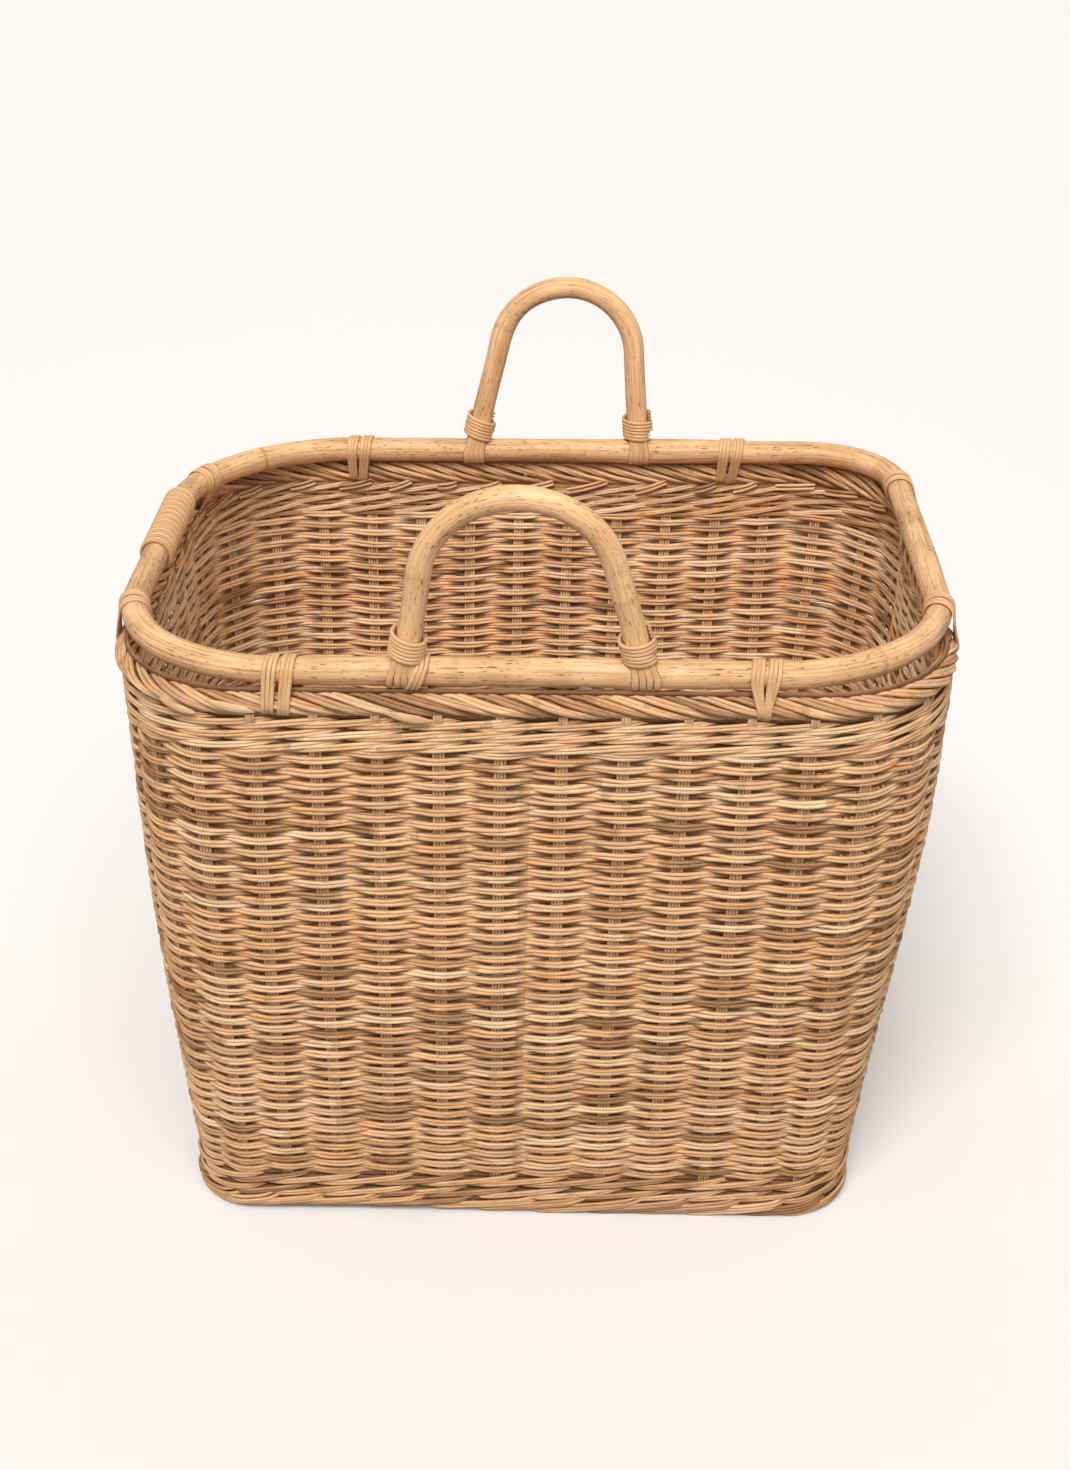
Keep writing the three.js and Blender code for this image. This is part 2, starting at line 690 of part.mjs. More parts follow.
// The stirrup of canes under the hoop, the collar that binds it to the leg, and the nail.
function bindFoot({ name, up, x }, sign) {
  const origin = vec(x, sign * HOOP_HALF_DEPTH, hoopZ);
  const out = vec(1, 0, 0).cross(up).normalize();
  const wide = up.clone().cross(out);
  const lift = SEAT_GAP + CANE_THICKNESS / 2;
  const legOffset = HANDLE_POLE_RADIUS + lift;
  const hoopOffset = HOOP_POLE_RADIUS + lift;
  const onLeg = (face, rise) => {
    const through = out.clone().multiplyScalar(face);
    const point = origin.clone().addScaledVector(through, legOffset).addScaledVector(up, rise);
    return caneRing(point, wide, through, STIRRUP_WIDTH, CANE_THICKNESS);
  };
  const underHoop = (degrees) => {
    const angle = radians(degrees);
    const through = vec(0, -Math.cos(angle), Math.sin(angle));
    const point = origin.clone().addScaledVector(through, hoopOffset);
    return caneRing(point, vec(1, 0, 0), through, STIRRUP_WIDTH, CANE_THICKNESS);
  };
  const rings = [onLeg(1, STIRRUP_RISE), onLeg(1, STIRRUP_LEAVES_LEG)];
  for (let i = 0; i <= STIRRUP_STEPS; i++) {
    rings.push(underHoop(lerp(5, -185, i / STIRRUP_STEPS)));
  }
  rings.push(onLeg(-1, STIRRUP_LEAVES_LEG), onLeg(-1, STIRRUP_RISE));
  add(`stirrup_${name}`, sweep(rings), caneMaterial);

  const reach = legOffset + CANE_THICKNESS / 2;
  const corner = STIRRUP_WIDTH / 2;
  const bound = [
    ...circle(COLLAR_INNER_RADIUS),
    [corner, reach],
    [corner, -reach],
    [-corner, reach],
    [-corner, -reach],
  ];
  const { turns, pitch, width, thickness } = COLLAR_WINDING;
  const outside = Math.hypot(corner, reach) + SEAT_GAP + thickness;
  const lowest = (HOOP_POLE_RADIUS + SEAT_GAP + outside * Math.abs(up.x)) / up.z;
  const middle = lowest + (turns * pitch + width) / 2;
  const frameAt = (along) => ({
    origin: origin.clone().addScaledVector(up, middle + along),
    u: wide,
    v: out,
    w: up,
  });
  const collarName = `collar_${name}`;
  add(collarName, winding(collarName, frameAt, () => bound, COLLAR_WINDING), caneMaterial);
  add(`nail_${name}`, nail(x, sign, up, 0), nailMaterial);
}

// Ties: two turns of cane round the hoop and the border

// How far the middle of the border lies outside a place on the hoop, along its normal.
function borderOffset({ point, normal }, z) {
  const ring = outline(bodyPlan(z), z, CORNER_STEPS).map(({ point: p }) => p);
  let best = null;
  ring.forEach((a, i) => {
    const b = ring[(i + 1) % ring.length];
    const span = b.clone().sub(a);
    const cross = normal.x * span.y - normal.y * span.x;
    if (Math.abs(cross) < 1e-9) return;
    const start = a.clone().sub(point);
    const distance = (start.x * span.y - start.y * span.x) / cross;
    const share = (start.x * normal.y - start.y * normal.x) / cross;
    if (share < 0 || share > 1) return;
    if (best === null || Math.abs(distance) < Math.abs(best)) best = distance;
  });
  return best;
}

const notches = [];
for (const { name, across, back } of TIES) {
  const middle = onHoop(across * HOOP_HALF_WIDTH, back * HOOP_HALF_DEPTH);
  const placeAt = (along) => {
    const { x: px, y: py } = middle.point.clone().addScaledVector(middle.along, along);
    return onHoop(px, py);
  };
  const frameAt = (along) => {
    const place = placeAt(along);
    return { origin: place.point, u: place.normal, v: UP, w: place.along };
  };
  const boundAt = (along) => {
    const place = placeAt(along);
    const half = BORDER_THICKNESS / 2 + TIE_LOOSE_ON_BORDER;
    const bound = circle(HOOP_POLE_RADIUS + LOOSE_ON_HOOP);
    for (const z of [borderBottom, borderTop]) {
      const offset = borderOffset(place, z);
      bound.push([offset - half, z - hoopZ], [offset + half, z - hoopZ]);
    }
    return bound;
  };
  add(name, winding(name, frameAt, boundAt, TIE_WINDING), caneMaterial);
  const spread = (TIE_WINDING.turns + 1) * TIE_WINDING.pitch + TIE_WINDING.width;
  const notch = new THREE.BoxGeometry(3 * BORDER_THICKNESS, spread, 2 * caneRoom);
  notch.rotateZ(Math.atan2(middle.normal.y, middle.normal.x));
  const under = middle.point
    .clone()
    .addScaledVector(middle.normal, borderOffset(middle, borderBottom));
  notch.translate(under.x, under.y, topWaleTop);
  notches.push(notch);
}

// Pieces, from the floor up

add(
  "foot_border",
  roundedBand(0, FOOT_BORDER_HEIGHT, FOOT_BORDER_THICKNESS),
  weaveMaterial,
);

const stakeCutters = stakes.map((stake) => stake.build(SEAT_GAP, wallBottom));
add(
  "foot_wale",
  cut(plainBand(footWaleBottom, footWaleTop, FOOT_WALE_THICKNESS), stakeCutters),
  weaveMaterial,
);

stakes.forEach(({ name, build }) => add(name, build(0, stakeTop), stakeMaterial));

// The base mat fills the plan inside the foot wale.
function baseMat() {
  const inset = -(FOOT_WALE_THICKNESS / 2 + SEAT_GAP);
  const ring = outline(bodyPlan(baseMatBottom), 0, CORNER_STEPS).map(({ point, normal }) =>
    point.addScaledVector(normal, inset),
  );
  const shape = new THREE.Shape(ring.map((p) => new THREE.Vector2(p.x, p.y)));
  const mat = new THREE.ExtrudeGeometry(shape, { depth: BASE_MAT_THICKNESS, bevelEnabled: false });
  mat.translate(0, 0, baseMatBottom);
  return mat;
}
add("base_mat", baseMat(), weaveMaterial);

const grooves = stakeLines.map((line) =>
  stakeLeg(line, wallBottom - CUT_PAST, wallTop + CUT_PAST, SEAT_GAP, WALL_THICKNESS),
);
add("wall_weave", cut(ribbedWall(wallBottom, wallTop), grooves), weaveMaterial);

const sockets = stakeLines.map((line) =>
  stakeLeg(line, topWaleBottom - CUT_PAST, topWaleTop + CUT_PAST, SEAT_GAP),
);
add(
  "top_wale",
  cut(plainBand(topWaleBottom, topWaleTop, TOP_WALE_THICKNESS), [...sockets, ...notches]),
  weaveMaterial,
);

add(
  "border_plait",
  roundedBand(borderBottom, borderTop, BORDER_THICKNESS),
  weaveMaterial,
);

const nailHoles = [...makeHandle("front", FRONT_HANDLE), ...makeHandle("back", BACK_HANDLE)];

const pole = sweep(
  hoopOutline.map(({ point, normal }) => hoopRing(point, normal, HOOP_POLE_RADIUS)),
  true,
);
const pinHoles = pinYs.map((y) => jointPin(y, SEAT_GAP));
add("rim_hoop", cut(pole, [scarfCut, ...pinHoles, ...nailHoles]), poleMaterial);
pinYs.forEach((y, i) => add(`joint_pin_${i + 1}`, jointPin(y, 0), nailMaterial));

// The joint's binding follows the hoop a little way into the corner.
const jointFrameAt = (along) => {
  const place = onHoop(-HOOP_HALF_WIDTH, JOINT_Y - along);
  return { origin: place.point, u: place.normal, v: UP, w: place.along };
};
const jointBinding = winding(
  "joint_binding",
  jointFrameAt,
  () => circle(HOOP_POLE_RADIUS + LOOSE_ON_HOOP),
  JOINT_WINDING,
);
add("joint_binding", jointBinding, caneMaterial);

export default basket;
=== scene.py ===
"""The looks of a woven rattan storage basket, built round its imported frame.

Lengths in the layout tables are millimetres, as in the part's source. Meshes are in metres.
A ring place s counts stakes counter-clockwise from the middle of the front, with a stake at each
half, so s = 0.5 is the first stake to the right of the middle.
"""
import math

import bpy
import numpy as np
from bpy.props import FloatProperty, FloatVectorProperty, IntProperty, PointerProperty
from bpy.types import Operator, Panel, PropertyGroup
from mathutils import Matrix, Vector


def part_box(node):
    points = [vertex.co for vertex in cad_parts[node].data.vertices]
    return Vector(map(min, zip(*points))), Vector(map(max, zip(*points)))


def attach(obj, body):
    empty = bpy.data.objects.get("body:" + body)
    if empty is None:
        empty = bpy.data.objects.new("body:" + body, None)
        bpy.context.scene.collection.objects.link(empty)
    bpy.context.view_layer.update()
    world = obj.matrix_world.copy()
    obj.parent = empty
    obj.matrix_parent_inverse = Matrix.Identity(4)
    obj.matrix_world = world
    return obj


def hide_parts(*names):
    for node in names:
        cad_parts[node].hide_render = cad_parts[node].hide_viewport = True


bl_info = {
    "name": "Woven Storage Basket",
    "version": (1, 0, 0),
    "blender": (4, 5, 0),
    "location": "3D View > Sidebar > Basket",
    "description": "Weaves, binds and lights a rattan storage basket round its fixed frame",
    "category": "Object",
}

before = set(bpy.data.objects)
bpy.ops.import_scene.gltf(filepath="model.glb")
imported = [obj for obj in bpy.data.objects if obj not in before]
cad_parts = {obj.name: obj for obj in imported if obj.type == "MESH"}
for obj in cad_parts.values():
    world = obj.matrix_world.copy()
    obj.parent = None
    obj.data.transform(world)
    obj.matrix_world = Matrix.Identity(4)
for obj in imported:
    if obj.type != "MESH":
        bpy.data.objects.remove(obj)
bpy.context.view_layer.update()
MM = 0.001
TURN = 2 * math.pi

# Plan of the woven wall at the floor and at the border's top: half width, half depth, corner
# radius and how far its middle stands off centre
FOOT_PLAN = (215, 152, 38, -9)
RIM_PLAN = (247, 184, 82, 0)
BORDER_TOP = 406.4

# Heights at which the wall, the top wale and the border meet, and the room between two bands
WALE_BOTTOM = 366.8
BORDER_BOTTOM = 389.8
BORDER_EDGE = 405.7
BAND_GAP = 0.2

# How far the weave has settled outwards all round, at the left and at the right, each with the
# power that moves the bulge's middle up the wall
WALL_BULGE = (3.2, 1.2)
LEFT_BULGE = (3.0, 0.9)
RIGHT_BULGE = (5.0, 2.2)

# Lean of the back right corner: how far, its ring place, its reach to both sides in stakes, and
# the shares of the height between which it grows
LEAN = 6.0
LEAN_PLACE = 15.5
LEAN_REACH = 3.5
LEAN_GROWTH = (0.4, 0.97)

# Stakes of the whole ring and of a quarter, the quarter's corner post, and the lengths along the
# quarter's foot outline at which its stakes stand
STAKES = 44
PER_QUARTER = 11
CORNER_POST = 6
FOOT_STAKES = (17.25, 51.75, 86.25, 120.75, 155.25, 182.75, 210.25, 237.75, 265.69, 299.69, 333.69)
FOOT_QUARTER = 350.69
STAKE_LANES = (-1.5, -0.5, 0.5, 1.5)

# Heights of the stakes' runs under the base mat, front to back and side to side, the radius of the
# bend from a run to a leg, and where the corner posts end below and all stakes above
LOW_RUN = 12.25
HIGH_RUN = 15.05
RUN_BEND = 5
STAKE_BOTTOM = 11
STAKE_TOP = 385.1

# Rim hoop: half width, half depth and its corner radii from front right, counter-clockwise, the
# height of its middle line, and where its joint lies on the left side
HOOP_HALF = (245, 179)
HOOP_CORNERS = (108, 64, 110, 102)
HOOP_HEIGHT = 416.55
JOINT_Y = 29

# Handles: front or back, middle, arch radius, height over the hoop, splay of the left and right
# leg in degrees
HANDLE_LEAN = 4
HANDLES = {
    "front": (-1, -8, 56, 110, 9.5, 15),
    "back": (1, 15, 47.5, 117, 13.5, 4),
}

# Ties as shares of the hoop's half width and half depth
TIES = {
    "tie_front_left": (-0.584, -1),
    "tie_front_right": (0.543, -1),
    "tie_right_front": (1, -0.503),
    "tie_right_back": (1, 0.637),
    "tie_back_right": (0.547, 1),
    "tie_back_left": (-0.539, 1),
    "tie_left_back": (-1, 0.67),
    "tie_left_front": (-1, -0.547),
}


def band(node):
    """Bottom and top of a woven band of the frame, in millimetres."""
    low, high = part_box(node)
    return low.z / MM, high.z / MM


# Sizes, colours and lights that a user may change


def length(name, about, default):
    """A size in metres."""
    return FloatProperty(name=name, description=about, default=default, unit="LENGTH", precision=5)


def colour(name, about, default):
    return FloatVectorProperty(
        name=name, description=about, default=default, subtype="COLOR", size=3, min=0, max=1
    )


def strength(name, about, default, **more):
    return FloatProperty(name=name, description=about, default=default, **more)


class BasketWeave(PropertyGroup):
    rows: IntProperty(name="Wall Rows", description="Pairs of weavers, one above the other", default=80)
    weaver: length("Weaver", "Height of a wall weaver's section", 0.00258)
    wave: length("Wave", "How far a weaver swings in and out round the stakes", 0.0021)
    pair: length("Pair", "Distance between the two canes of a pair", 0.00236)
    wander: length("Wander", "How far a cane strays from its even path", 0.0004)
    balance: length("Balance", "How far a weaver drops where it lies outside", 0.00092)
    stake: length("Stake Cane", "Diameter of one of the four canes of a stake", 0.00185)
    wale: length("Wale Cane", "Diameter of a cane of the two wales", 0.0024)
    border: length("Border Cane", "Diameter of a cane of the foot border", 0.0025)
    plait: length("Plait Cane", "Diameter of a cane of the plaited border", 0.0031)
    mat: length("Mat Cane", "Diameter of a weaver of the base mat", 0.0017)


class BasketPoles(PropertyGroup):
    hoop: length("Hoop", "Diameter of the rim hoop", 0.0165)
    handle: length("Handle", "Diameter of a handle pole", 0.0145)
    wobble: length("Wobble", "How far a pole strays from its even curve", 0.0011)
    cane: length("Binding", "Thickness of the split cane", 0.0013)


class BasketColours(PropertyGroup):
    weave_light: colour("Light Weaver", "The lightest woven canes", (1.0, 0.69, 0.41))
    weave_mid: colour("Weaver", "Most woven canes", (0.86, 0.465, 0.205))
    weave_dark: colour("Dark Weaver", "The darkest woven canes", (0.37, 0.175, 0.066))
    weave_pink: colour("Pink Weaver", "Canes that have aged to a dull pink", (0.7, 0.42, 0.245))
    # The colour of the shade painted on canes' sides that lie hidden in the weave
    weave_painted_shade: colour("Painted Shade on Hidden Sides", "Painted shade on the sides that lie hidden in the weave", (0.13, 0.045, 0.013))
    stake: colour("Stakes", "The stake canes", (0.96, 0.6, 0.34))
    pole: colour("Poles", "The hoop and the handles", (0.92, 0.575, 0.31))
    pole_dark: colour("Pole Streaks", "Dark grain and nodes of the poles", (0.38, 0.165, 0.055))
    binding: colour("Bindings", "Ties, collars, stirrups and the joint's binding", (0.98, 0.61, 0.32))
    binding_dark: colour("Binding Edges", "The duller parts of the bindings", (0.54, 0.26, 0.1))
    nail: colour("Nails", "Wire nails", (0.45, 0.44, 0.42))
    nail_rust: colour("Nail Rust", "Rusty places on the nails", (0.2, 0.11, 0.06))
    floor: colour("Floor", "Floor and background", (0.985, 0.957, 0.939))


class BasketStage(PropertyGroup):
    ambient: strength("Ambient", "Strength of the even light", 0.5)
    sun: strength("Sun", "Strength of the soft light from above the front", 1.85)
    spot: strength("Spot", "Power of the wide lamp over the rim, in watts", 28.0)
    softness: strength("Softness", "Angle of the soft light", math.radians(26), subtype="ANGLE")
    paper: strength("Paper", "Brightness of the floor's own white", 1.0)
    bounce: strength("Bounce", "How much of its light the floor gives back", 0.3)
    lift: strength("Lift", "How much of that white the camera sees", 0.08)
    lens: strength("Lens", "Focal length", 51.42, unit="CAMERA")


# Node helpers


def node(tree, kind, inputs=None, **settings):
    """Adds a node, sets what it is told, and joins or fills its inputs."""
    made = tree.nodes.new(kind)
    for key, value in settings.items():
        setattr(made, key, value)
    for key, value in (inputs or {}).items():
        if isinstance(value, bpy.types.NodeSocket):
            tree.links.new(value, made.inputs[key])
        else:
            made.inputs[key].default_value = value
    return made


def math_node(tree, operation, *values):
    """What a Math node makes of numbers or sockets."""
    return node(tree, "ShaderNodeMath", dict(enumerate(values)), operation=operation).outputs[0]


def times(tree, first, second):
    return math_node(tree, "MULTIPLY", first, second)


def vector_node(tree, operation, *values):
    made = node(tree, "ShaderNodeVectorMath", dict(enumerate(values)), operation=operation)
    return made.outputs["Vector"]


def scaled(tree, vector, factor):
    made = node(tree, "ShaderNodeVectorMath", {"Vector": vector, "Scale": factor}, operation="SCALE")
    return made.outputs["Vector"]


def new_tree(name, kind, inputs, outputs):
    """A node tree with named sockets, and what comes in through them."""
    tree = bpy.data.node_groups.new(name, kind)
    for label, form, default in inputs:
        made = tree.interface.new_socket(label, in_out="INPUT", socket_type="NodeSocket" + form)
        if default is not None:
            made.default_value = default
    for label, form in outputs:
        tree.interface.new_socket(label, in_out="OUTPUT", socket_type="NodeSocket" + form)
    return tree, node(tree, "NodeGroupInput").outputs


def placed(name, data):
    """A new object in the scene."""
    made = bpy.data.objects.new(name, data)
    bpy.context.scene.collection.objects.link(made)
    return made


# Canes swept along centre lines


class Strands:
    """Centre lines of canes, with what the sweep has to know at each of their points."""

    KINDS = {"out": "FLOAT_VECTOR", "wave": "FLOAT", "lane": "FLOAT", "thick": "FLOAT",
             "tone": "FLOAT", "mark": "FLOAT"}

    def __init__(self):
        self.points = []
        self.values = {key: [] for key in self.KINDS}
        self.edges = []
        self.count = 0

    # mark: on woven canes, how far out in the weave a cane lies, from -1 to 1, which the woven finish
    # uses to paint shade on its hidden sides; on poles, where the nodes are
    def add(self, points, out, closed=False, wave=0.0, lane=0.0, thick=1.0, tone=0.5, mark=0.0):
        """Adds one cane in millimetres. A single number stands for the same value all along."""
        n = len(points)
        given = {"wave": wave, "lane": lane, "thick": thick, "tone": tone, "mark": mark}
        self.points.append(np.asarray(points, float) * MM)
        self.values["out"].append(np.broadcast_to(np.asarray(out, float), (n, 3)))
        for key, value in given.items():
            self.values[key].append(np.broadcast_to(np.asarray(value, float), n))
        index = np.arange(n) + self.count
        pairs = np.stack([index, np.roll(index, -1)], 1)
        self.edges.append(pairs if closed else pairs[:-1])
        self.count += n

    def mesh(self, name):
        made = bpy.data.meshes.new(name)
        edges = np.concatenate(self.edges)
        made.vertices.add(self.count)
        made.vertices.foreach_set("co", np.concatenate(self.points).astype(np.float32).ravel())
        made.edges.add(len(edges))
        made.edges.foreach_set("vertices", edges.astype(np.int32).ravel())
        for key, kind in self.KINDS.items():
            values = np.concatenate(self.values[key]).astype(np.float32).ravel()
            field = "vector" if kind == "FLOAT_VECTOR" else "value"
            made.attributes.new(key, kind, "POINT").data.foreach_set(field, values)
        made.update()
        return made


CANE_TREE = "Laid Canes"
CANE_INPUTS = (
    ("Lines", "Geometry", None),
    ("Width", "Float", 0.002),
    ("Thickness", "Float", 0.002),
    ("Sides", "Int", 6),
    ("Wave Height", "Float", 0.0),
    ("Lane Spacing", "Float", 0.0),
    ("Wander", "Float", 0.0),
    ("Wander Scale", "Float", 40.0),
    ("Material", "Material", None),
)


def cane_tree():
    """Moves each cane's line by its wave, lane and wander, then sweeps an oval section along it."""
    found = bpy.data.node_groups.get(CANE_TREE)
    if found:
        return found
    tree, given = new_tree(CANE_TREE, "GeometryNodeTree", CANE_INPUTS, [("Canes", "Geometry")])

    def value(name, kind="FLOAT"):
        made = node(tree, "GeometryNodeInputNamedAttribute", {"Name": name}, data_type=kind)
        return made.outputs["Attribute"]

    place = node(tree, "GeometryNodeInputPosition").outputs[0]
    own = vector_node(tree, "ADD", place, scaled(tree, (1, 1, 1), value("tone")))
    noise = node(
        tree, "ShaderNodeTexNoise", {"Vector": own, "Scale": given["Wander Scale"], "Detail": 1}
    ).outputs["Color"]
    stray = scaled(tree, vector_node(tree, "SUBTRACT", noise, (0.5, 0.5, 0.5)), 2.0)
    out = value("out", "FLOAT_VECTOR")
    swing = scaled(tree, out, times(tree, value("wave"), given["Wave Height"]))
    lift = scaled(tree, (0, 0, 1), times(tree, value("lane"), given["Lane Spacing"]))
    even = vector_node(tree, "ADD", swing, lift)
    move = vector_node(tree, "ADD", even, scaled(tree, stray, given["Wander"]))
    moved = node(tree, "GeometryNodeSetPosition", {"Geometry": given["Lines"], "Offset": move})
    curve = node(tree, "GeometryNodeMeshToCurve", {"Mesh": moved.outputs[0]})
    turned = node(
        tree, "GeometryNodeSetCurveNormal", {"Curve": curve.outputs[0], "Normal": out}, mode="FREE"
    )

    def capture(geometry, items):
        made = node(tree, "GeometryNodeCaptureAttribute", {"Geometry": geometry})
        outs = []
        for name, source in items:
            made.capture_items.new("FLOAT", name)
            tree.links.new(source, made.inputs[name])
            outs.append(made.outputs[name])
        return made.outputs["Geometry"], outs

    along = node(tree, "GeometryNodeSplineParameter").outputs["Length"]
    whole = node(tree, "GeometryNodeSplineLength").outputs["Length"]
    lines, (along, whole) = capture(turned.outputs[0], [("Along", along), ("Whole", whole)])
    circle = node(
        tree, "GeometryNodeCurvePrimitiveCircle", {"Resolution": given["Sides"], "Radius": 0.5}
    )
    size = node(tree, "ShaderNodeCombineXYZ", {"X": given["Thickness"], "Y": given["Width"], "Z": 1.0})
    shaped = node(
        tree, "GeometryNodeTransform", {"Geometry": circle.outputs[0], "Rotation": (0, 0, math.pi)}
    )
    oval = node(
        tree, "GeometryNodeTransform", {"Geometry": shaped.outputs[0], "Scale": size.outputs[0]}
    )
    share = node(tree, "GeometryNodeSplineParameter").outputs["Factor"]
    section, (around,) = capture(oval.outputs[0], [("Around", share)])
    swept = node(
        tree,
        "GeometryNodeCurveToMesh",
        {"Curve": lines, "Profile Curve": section, "Scale": value("thick"), "Fill Caps": True},
    )

    def unwrapped(field, whole_turn, jump):
        """Closes the map's seam, where one corner of a face has already begun the next turn."""
        middle = node(tree, "GeometryNodeFieldOnDomain", {0: field}, domain="FACE").outputs[0]
        past = math_node(tree, "GREATER_THAN", math_node(tree, "SUBTRACT", middle, field), jump)
        return math_node(tree, "ADD", field, times(tree, past, whole_turn))

    at = node(
        tree,
        "ShaderNodeCombineXYZ",
        {"X": unwrapped(along, whole, 0.05), "Y": unwrapped(around, 1.0, 0.3)},
    )
    mapped = node(
        tree,
        "GeometryNodeStoreNamedAttribute",
        {"Geometry": swept.outputs[0], "Name": "UVMap", "Value": at.outputs[0]},
        data_type="FLOAT2",
        domain="CORNER",
    )
    smooth = node(
        tree, "GeometryNodeSetShadeSmooth", {"Geometry": mapped.outputs[0], "Shade Smooth": True}
    )
    real = node(tree, "GeometryNodeRealizeInstances", {"Geometry": smooth.outputs[0]})
    final = node(
        tree, "GeometryNodeSetMaterial", {"Geometry": real.outputs[0], "Material": given["Material"]}
    )
    node(tree, "NodeGroupOutput", {"Canes": final.outputs[0]})
    return tree


def lay(
    name, strands, finish, replaced, slot, width, thickness=None, sides=6, wave=0.0, lane=0.0,
    wander=0.0, scale=40.0,
):
    """Lays canes as one piece, which stands for the CAD nodes it replaces. Sizes are in metres."""
    lines = strands.mesh(name + "_lines")
    piece = placed(name, lines)
    tree = cane_tree()
    modifier = piece.modifiers.new(CANE_TREE, "NODES")
    modifier.node_group = tree
    values = {
        "Width": width, "Thickness": thickness or width, "Sides": sides, "Wave Height": wave,
        "Lane Spacing": lane, "Wander": wander, "Wander Scale": scale, "Material": finish,
    }
    for item in tree.interface.items_tree:
        if item.name in values:
            modifier[item.identifier] = values[item.name]
    graph = bpy.context.evaluated_depsgraph_get()
    mesh = bpy.data.meshes.new_from_object(piece.evaluated_get(graph), depsgraph=graph)
    piece.modifiers.clear()
    piece.data = mesh
    bpy.data.meshes.remove(lines)
    for key in set(Strands.KINDS) - {"tone", "mark"}:
        if key in mesh.attributes:
            mesh.attributes.remove(mesh.attributes[key])
    if not mesh.polygons:
        raise RuntimeError(f"{name} came out empty")
    mesh.name = name
    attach(piece, "root")
    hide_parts(*replaced)


# The wall's surface


def outline(plan, along):
    """Points and outward normals at lengths along a rounded rectangle, from the front's middle."""
    half_width, half_depth, radius, shift = plan
    bend, quarter = radius * math.pi / 2, quarter_length(plan)
    turn, rest = np.divmod(along % (4 * quarter), quarter)
    rest = np.where(turn % 2 == 1, quarter - rest, rest)
    front = half_width - radius
    angle = np.clip((rest - front) / radius, 0, math.pi / 2)
    x = np.where(rest < front, rest, front + radius * np.sin(angle))
    y = -half_depth + radius * (1 - np.cos(angle)) + np.clip(rest - front - bend, 0, None)
    side_x = np.where(turn >= 2, -1, 1)
    side_y = np.where((turn == 1) | (turn == 2), -1, 1)
    point = np.stack([x * side_x + shift, y * side_y], -1)
    normal = np.stack([np.sin(angle) * side_x, -np.cos(angle) * side_y], -1)
    return point, normal


def quarter_length(plan):
    """Length of a quarter of a rounded rectangle's outline."""
    half_width, half_depth, radius, _ = plan
    return half_width + half_depth - 2 * radius + radius * math.pi / 2


def foot_places():
    """Lengths along the foot's outline at which its stakes stand, for ring places 0.5, 1.5, ..."""
    quarter = np.array(FOOT_STAKES)
    back = 2 * FOOT_QUARTER - quarter[::-1]
    half = np.concatenate([quarter, back])
    return np.concatenate([half, half + 2 * FOOT_QUARTER])


FOOT_PLACES = foot_places()


def step_up(value, low, high):
    """A smooth step from 0 at the low value to 1 at the high one."""
    share = np.clip((value - low) / (high - low), 0, 1)
    return share * share * (3 - 2 * share)


def bulge(s, z, side):
    """How far the weave has settled outwards, in millimetres. The side is the normal's x. The back
    right corner leans out towards its top, because the hoop turns more sharply there."""
    share = np.clip(np.asarray(z, float) / BORDER_TOP, 0, 1)
    even, left, right = (
        most * np.sin(math.pi * share**power)
        for most, power in (WALL_BULGE, LEFT_BULGE, RIGHT_BULGE)
    )
    near = 1 - np.abs(np.asarray(s, float) % STAKES - LEAN_PLACE) / LEAN_REACH
    lean = LEAN * step_up(near, 0, 0.8) * step_up(share, *LEAN_GROWTH)
    return even + left * np.clip(-side, 0, 1) + right * np.clip(side, 0, 1) + lean


def wall(s, z, offset=0.0):
    """Points of the wall's middle surface at ring places and heights, and the outward normals."""
    s = np.asarray(s, float) % STAKES
    whole = 4 * FOOT_QUARTER
    known = np.arange(-1, STAKES + 1) + 0.5
    lengths = np.concatenate([[FOOT_PLACES[-1] - whole], FOOT_PLACES, [FOOT_PLACES[0] + whole]])
    foot, foot_normal = outline(FOOT_PLAN, np.interp(s, known, lengths))
    rim, rim_normal = outline(RIM_PLAN, s * quarter_length(RIM_PLAN) / PER_QUARTER)
    t = np.clip(np.asarray(z, float) / BORDER_TOP, 0, 1)[..., None] * np.ones((len(s), 1))
    flat = foot * (1 - t) + rim * t
    normal = foot_normal * (1 - t) + rim_normal * t
    normal /= np.linalg.norm(normal, axis=1, keepdims=True)
    flat = flat + normal * np.reshape(offset + bulge(s, z, normal[:, 0]), (-1, 1))
    height = np.broadcast_to(np.asarray(z, float), len(s))
    out = np.concatenate([normal, np.zeros((len(s), 1))], 1)
    return np.concatenate([flat, height[:, None]], 1), out


def drift(t, period, rng, low, high):
    """A smooth closed random line of about unit size, with waves from low to high per period."""
    total = np.zeros_like(t)
    for k in range(low, high + 1):
        total += rng.normal() * np.cos(TURN * k * t / period + rng.uniform(0, TURN))
    return total / math.sqrt((high - low + 1) / 2)


def uneven(t, period, rng, share, low, high):
    """Factors round 1 that stray by about the share."""
    return 1 + share * drift(t, period, rng, low, high)


def painted_shade_tone(z):
    """The middle tone of the canes at a height: painted shade makes them darker towards the foot,
    standing in for the weaker light low on the wall.
    """
    at_foot, rise = 0.34, 0.22
    return at_foot + rise * z / BORDER_TOP


def splices(t, rng, run, spread, middle=0.5):
    """Tones along a cane that changes where a new one was spliced in, after about each run."""
    shortest, longest = 0.4, 1.6
    tone = np.zeros_like(t)
    at = -rng.uniform(0, run)
    while at < t[-1]:
        step = rng.uniform(shortest, longest) * run
        tone[(t >= at) & (t < at + step)] = np.clip(middle + rng.normal() * spread, 0, 1)
        at += step
    return tone


def strayed(tone, spread, rng):
    """A tone that strays from another by about the spread."""
    return np.clip(tone + spread * rng.normal(), 0, 1)


# Materials


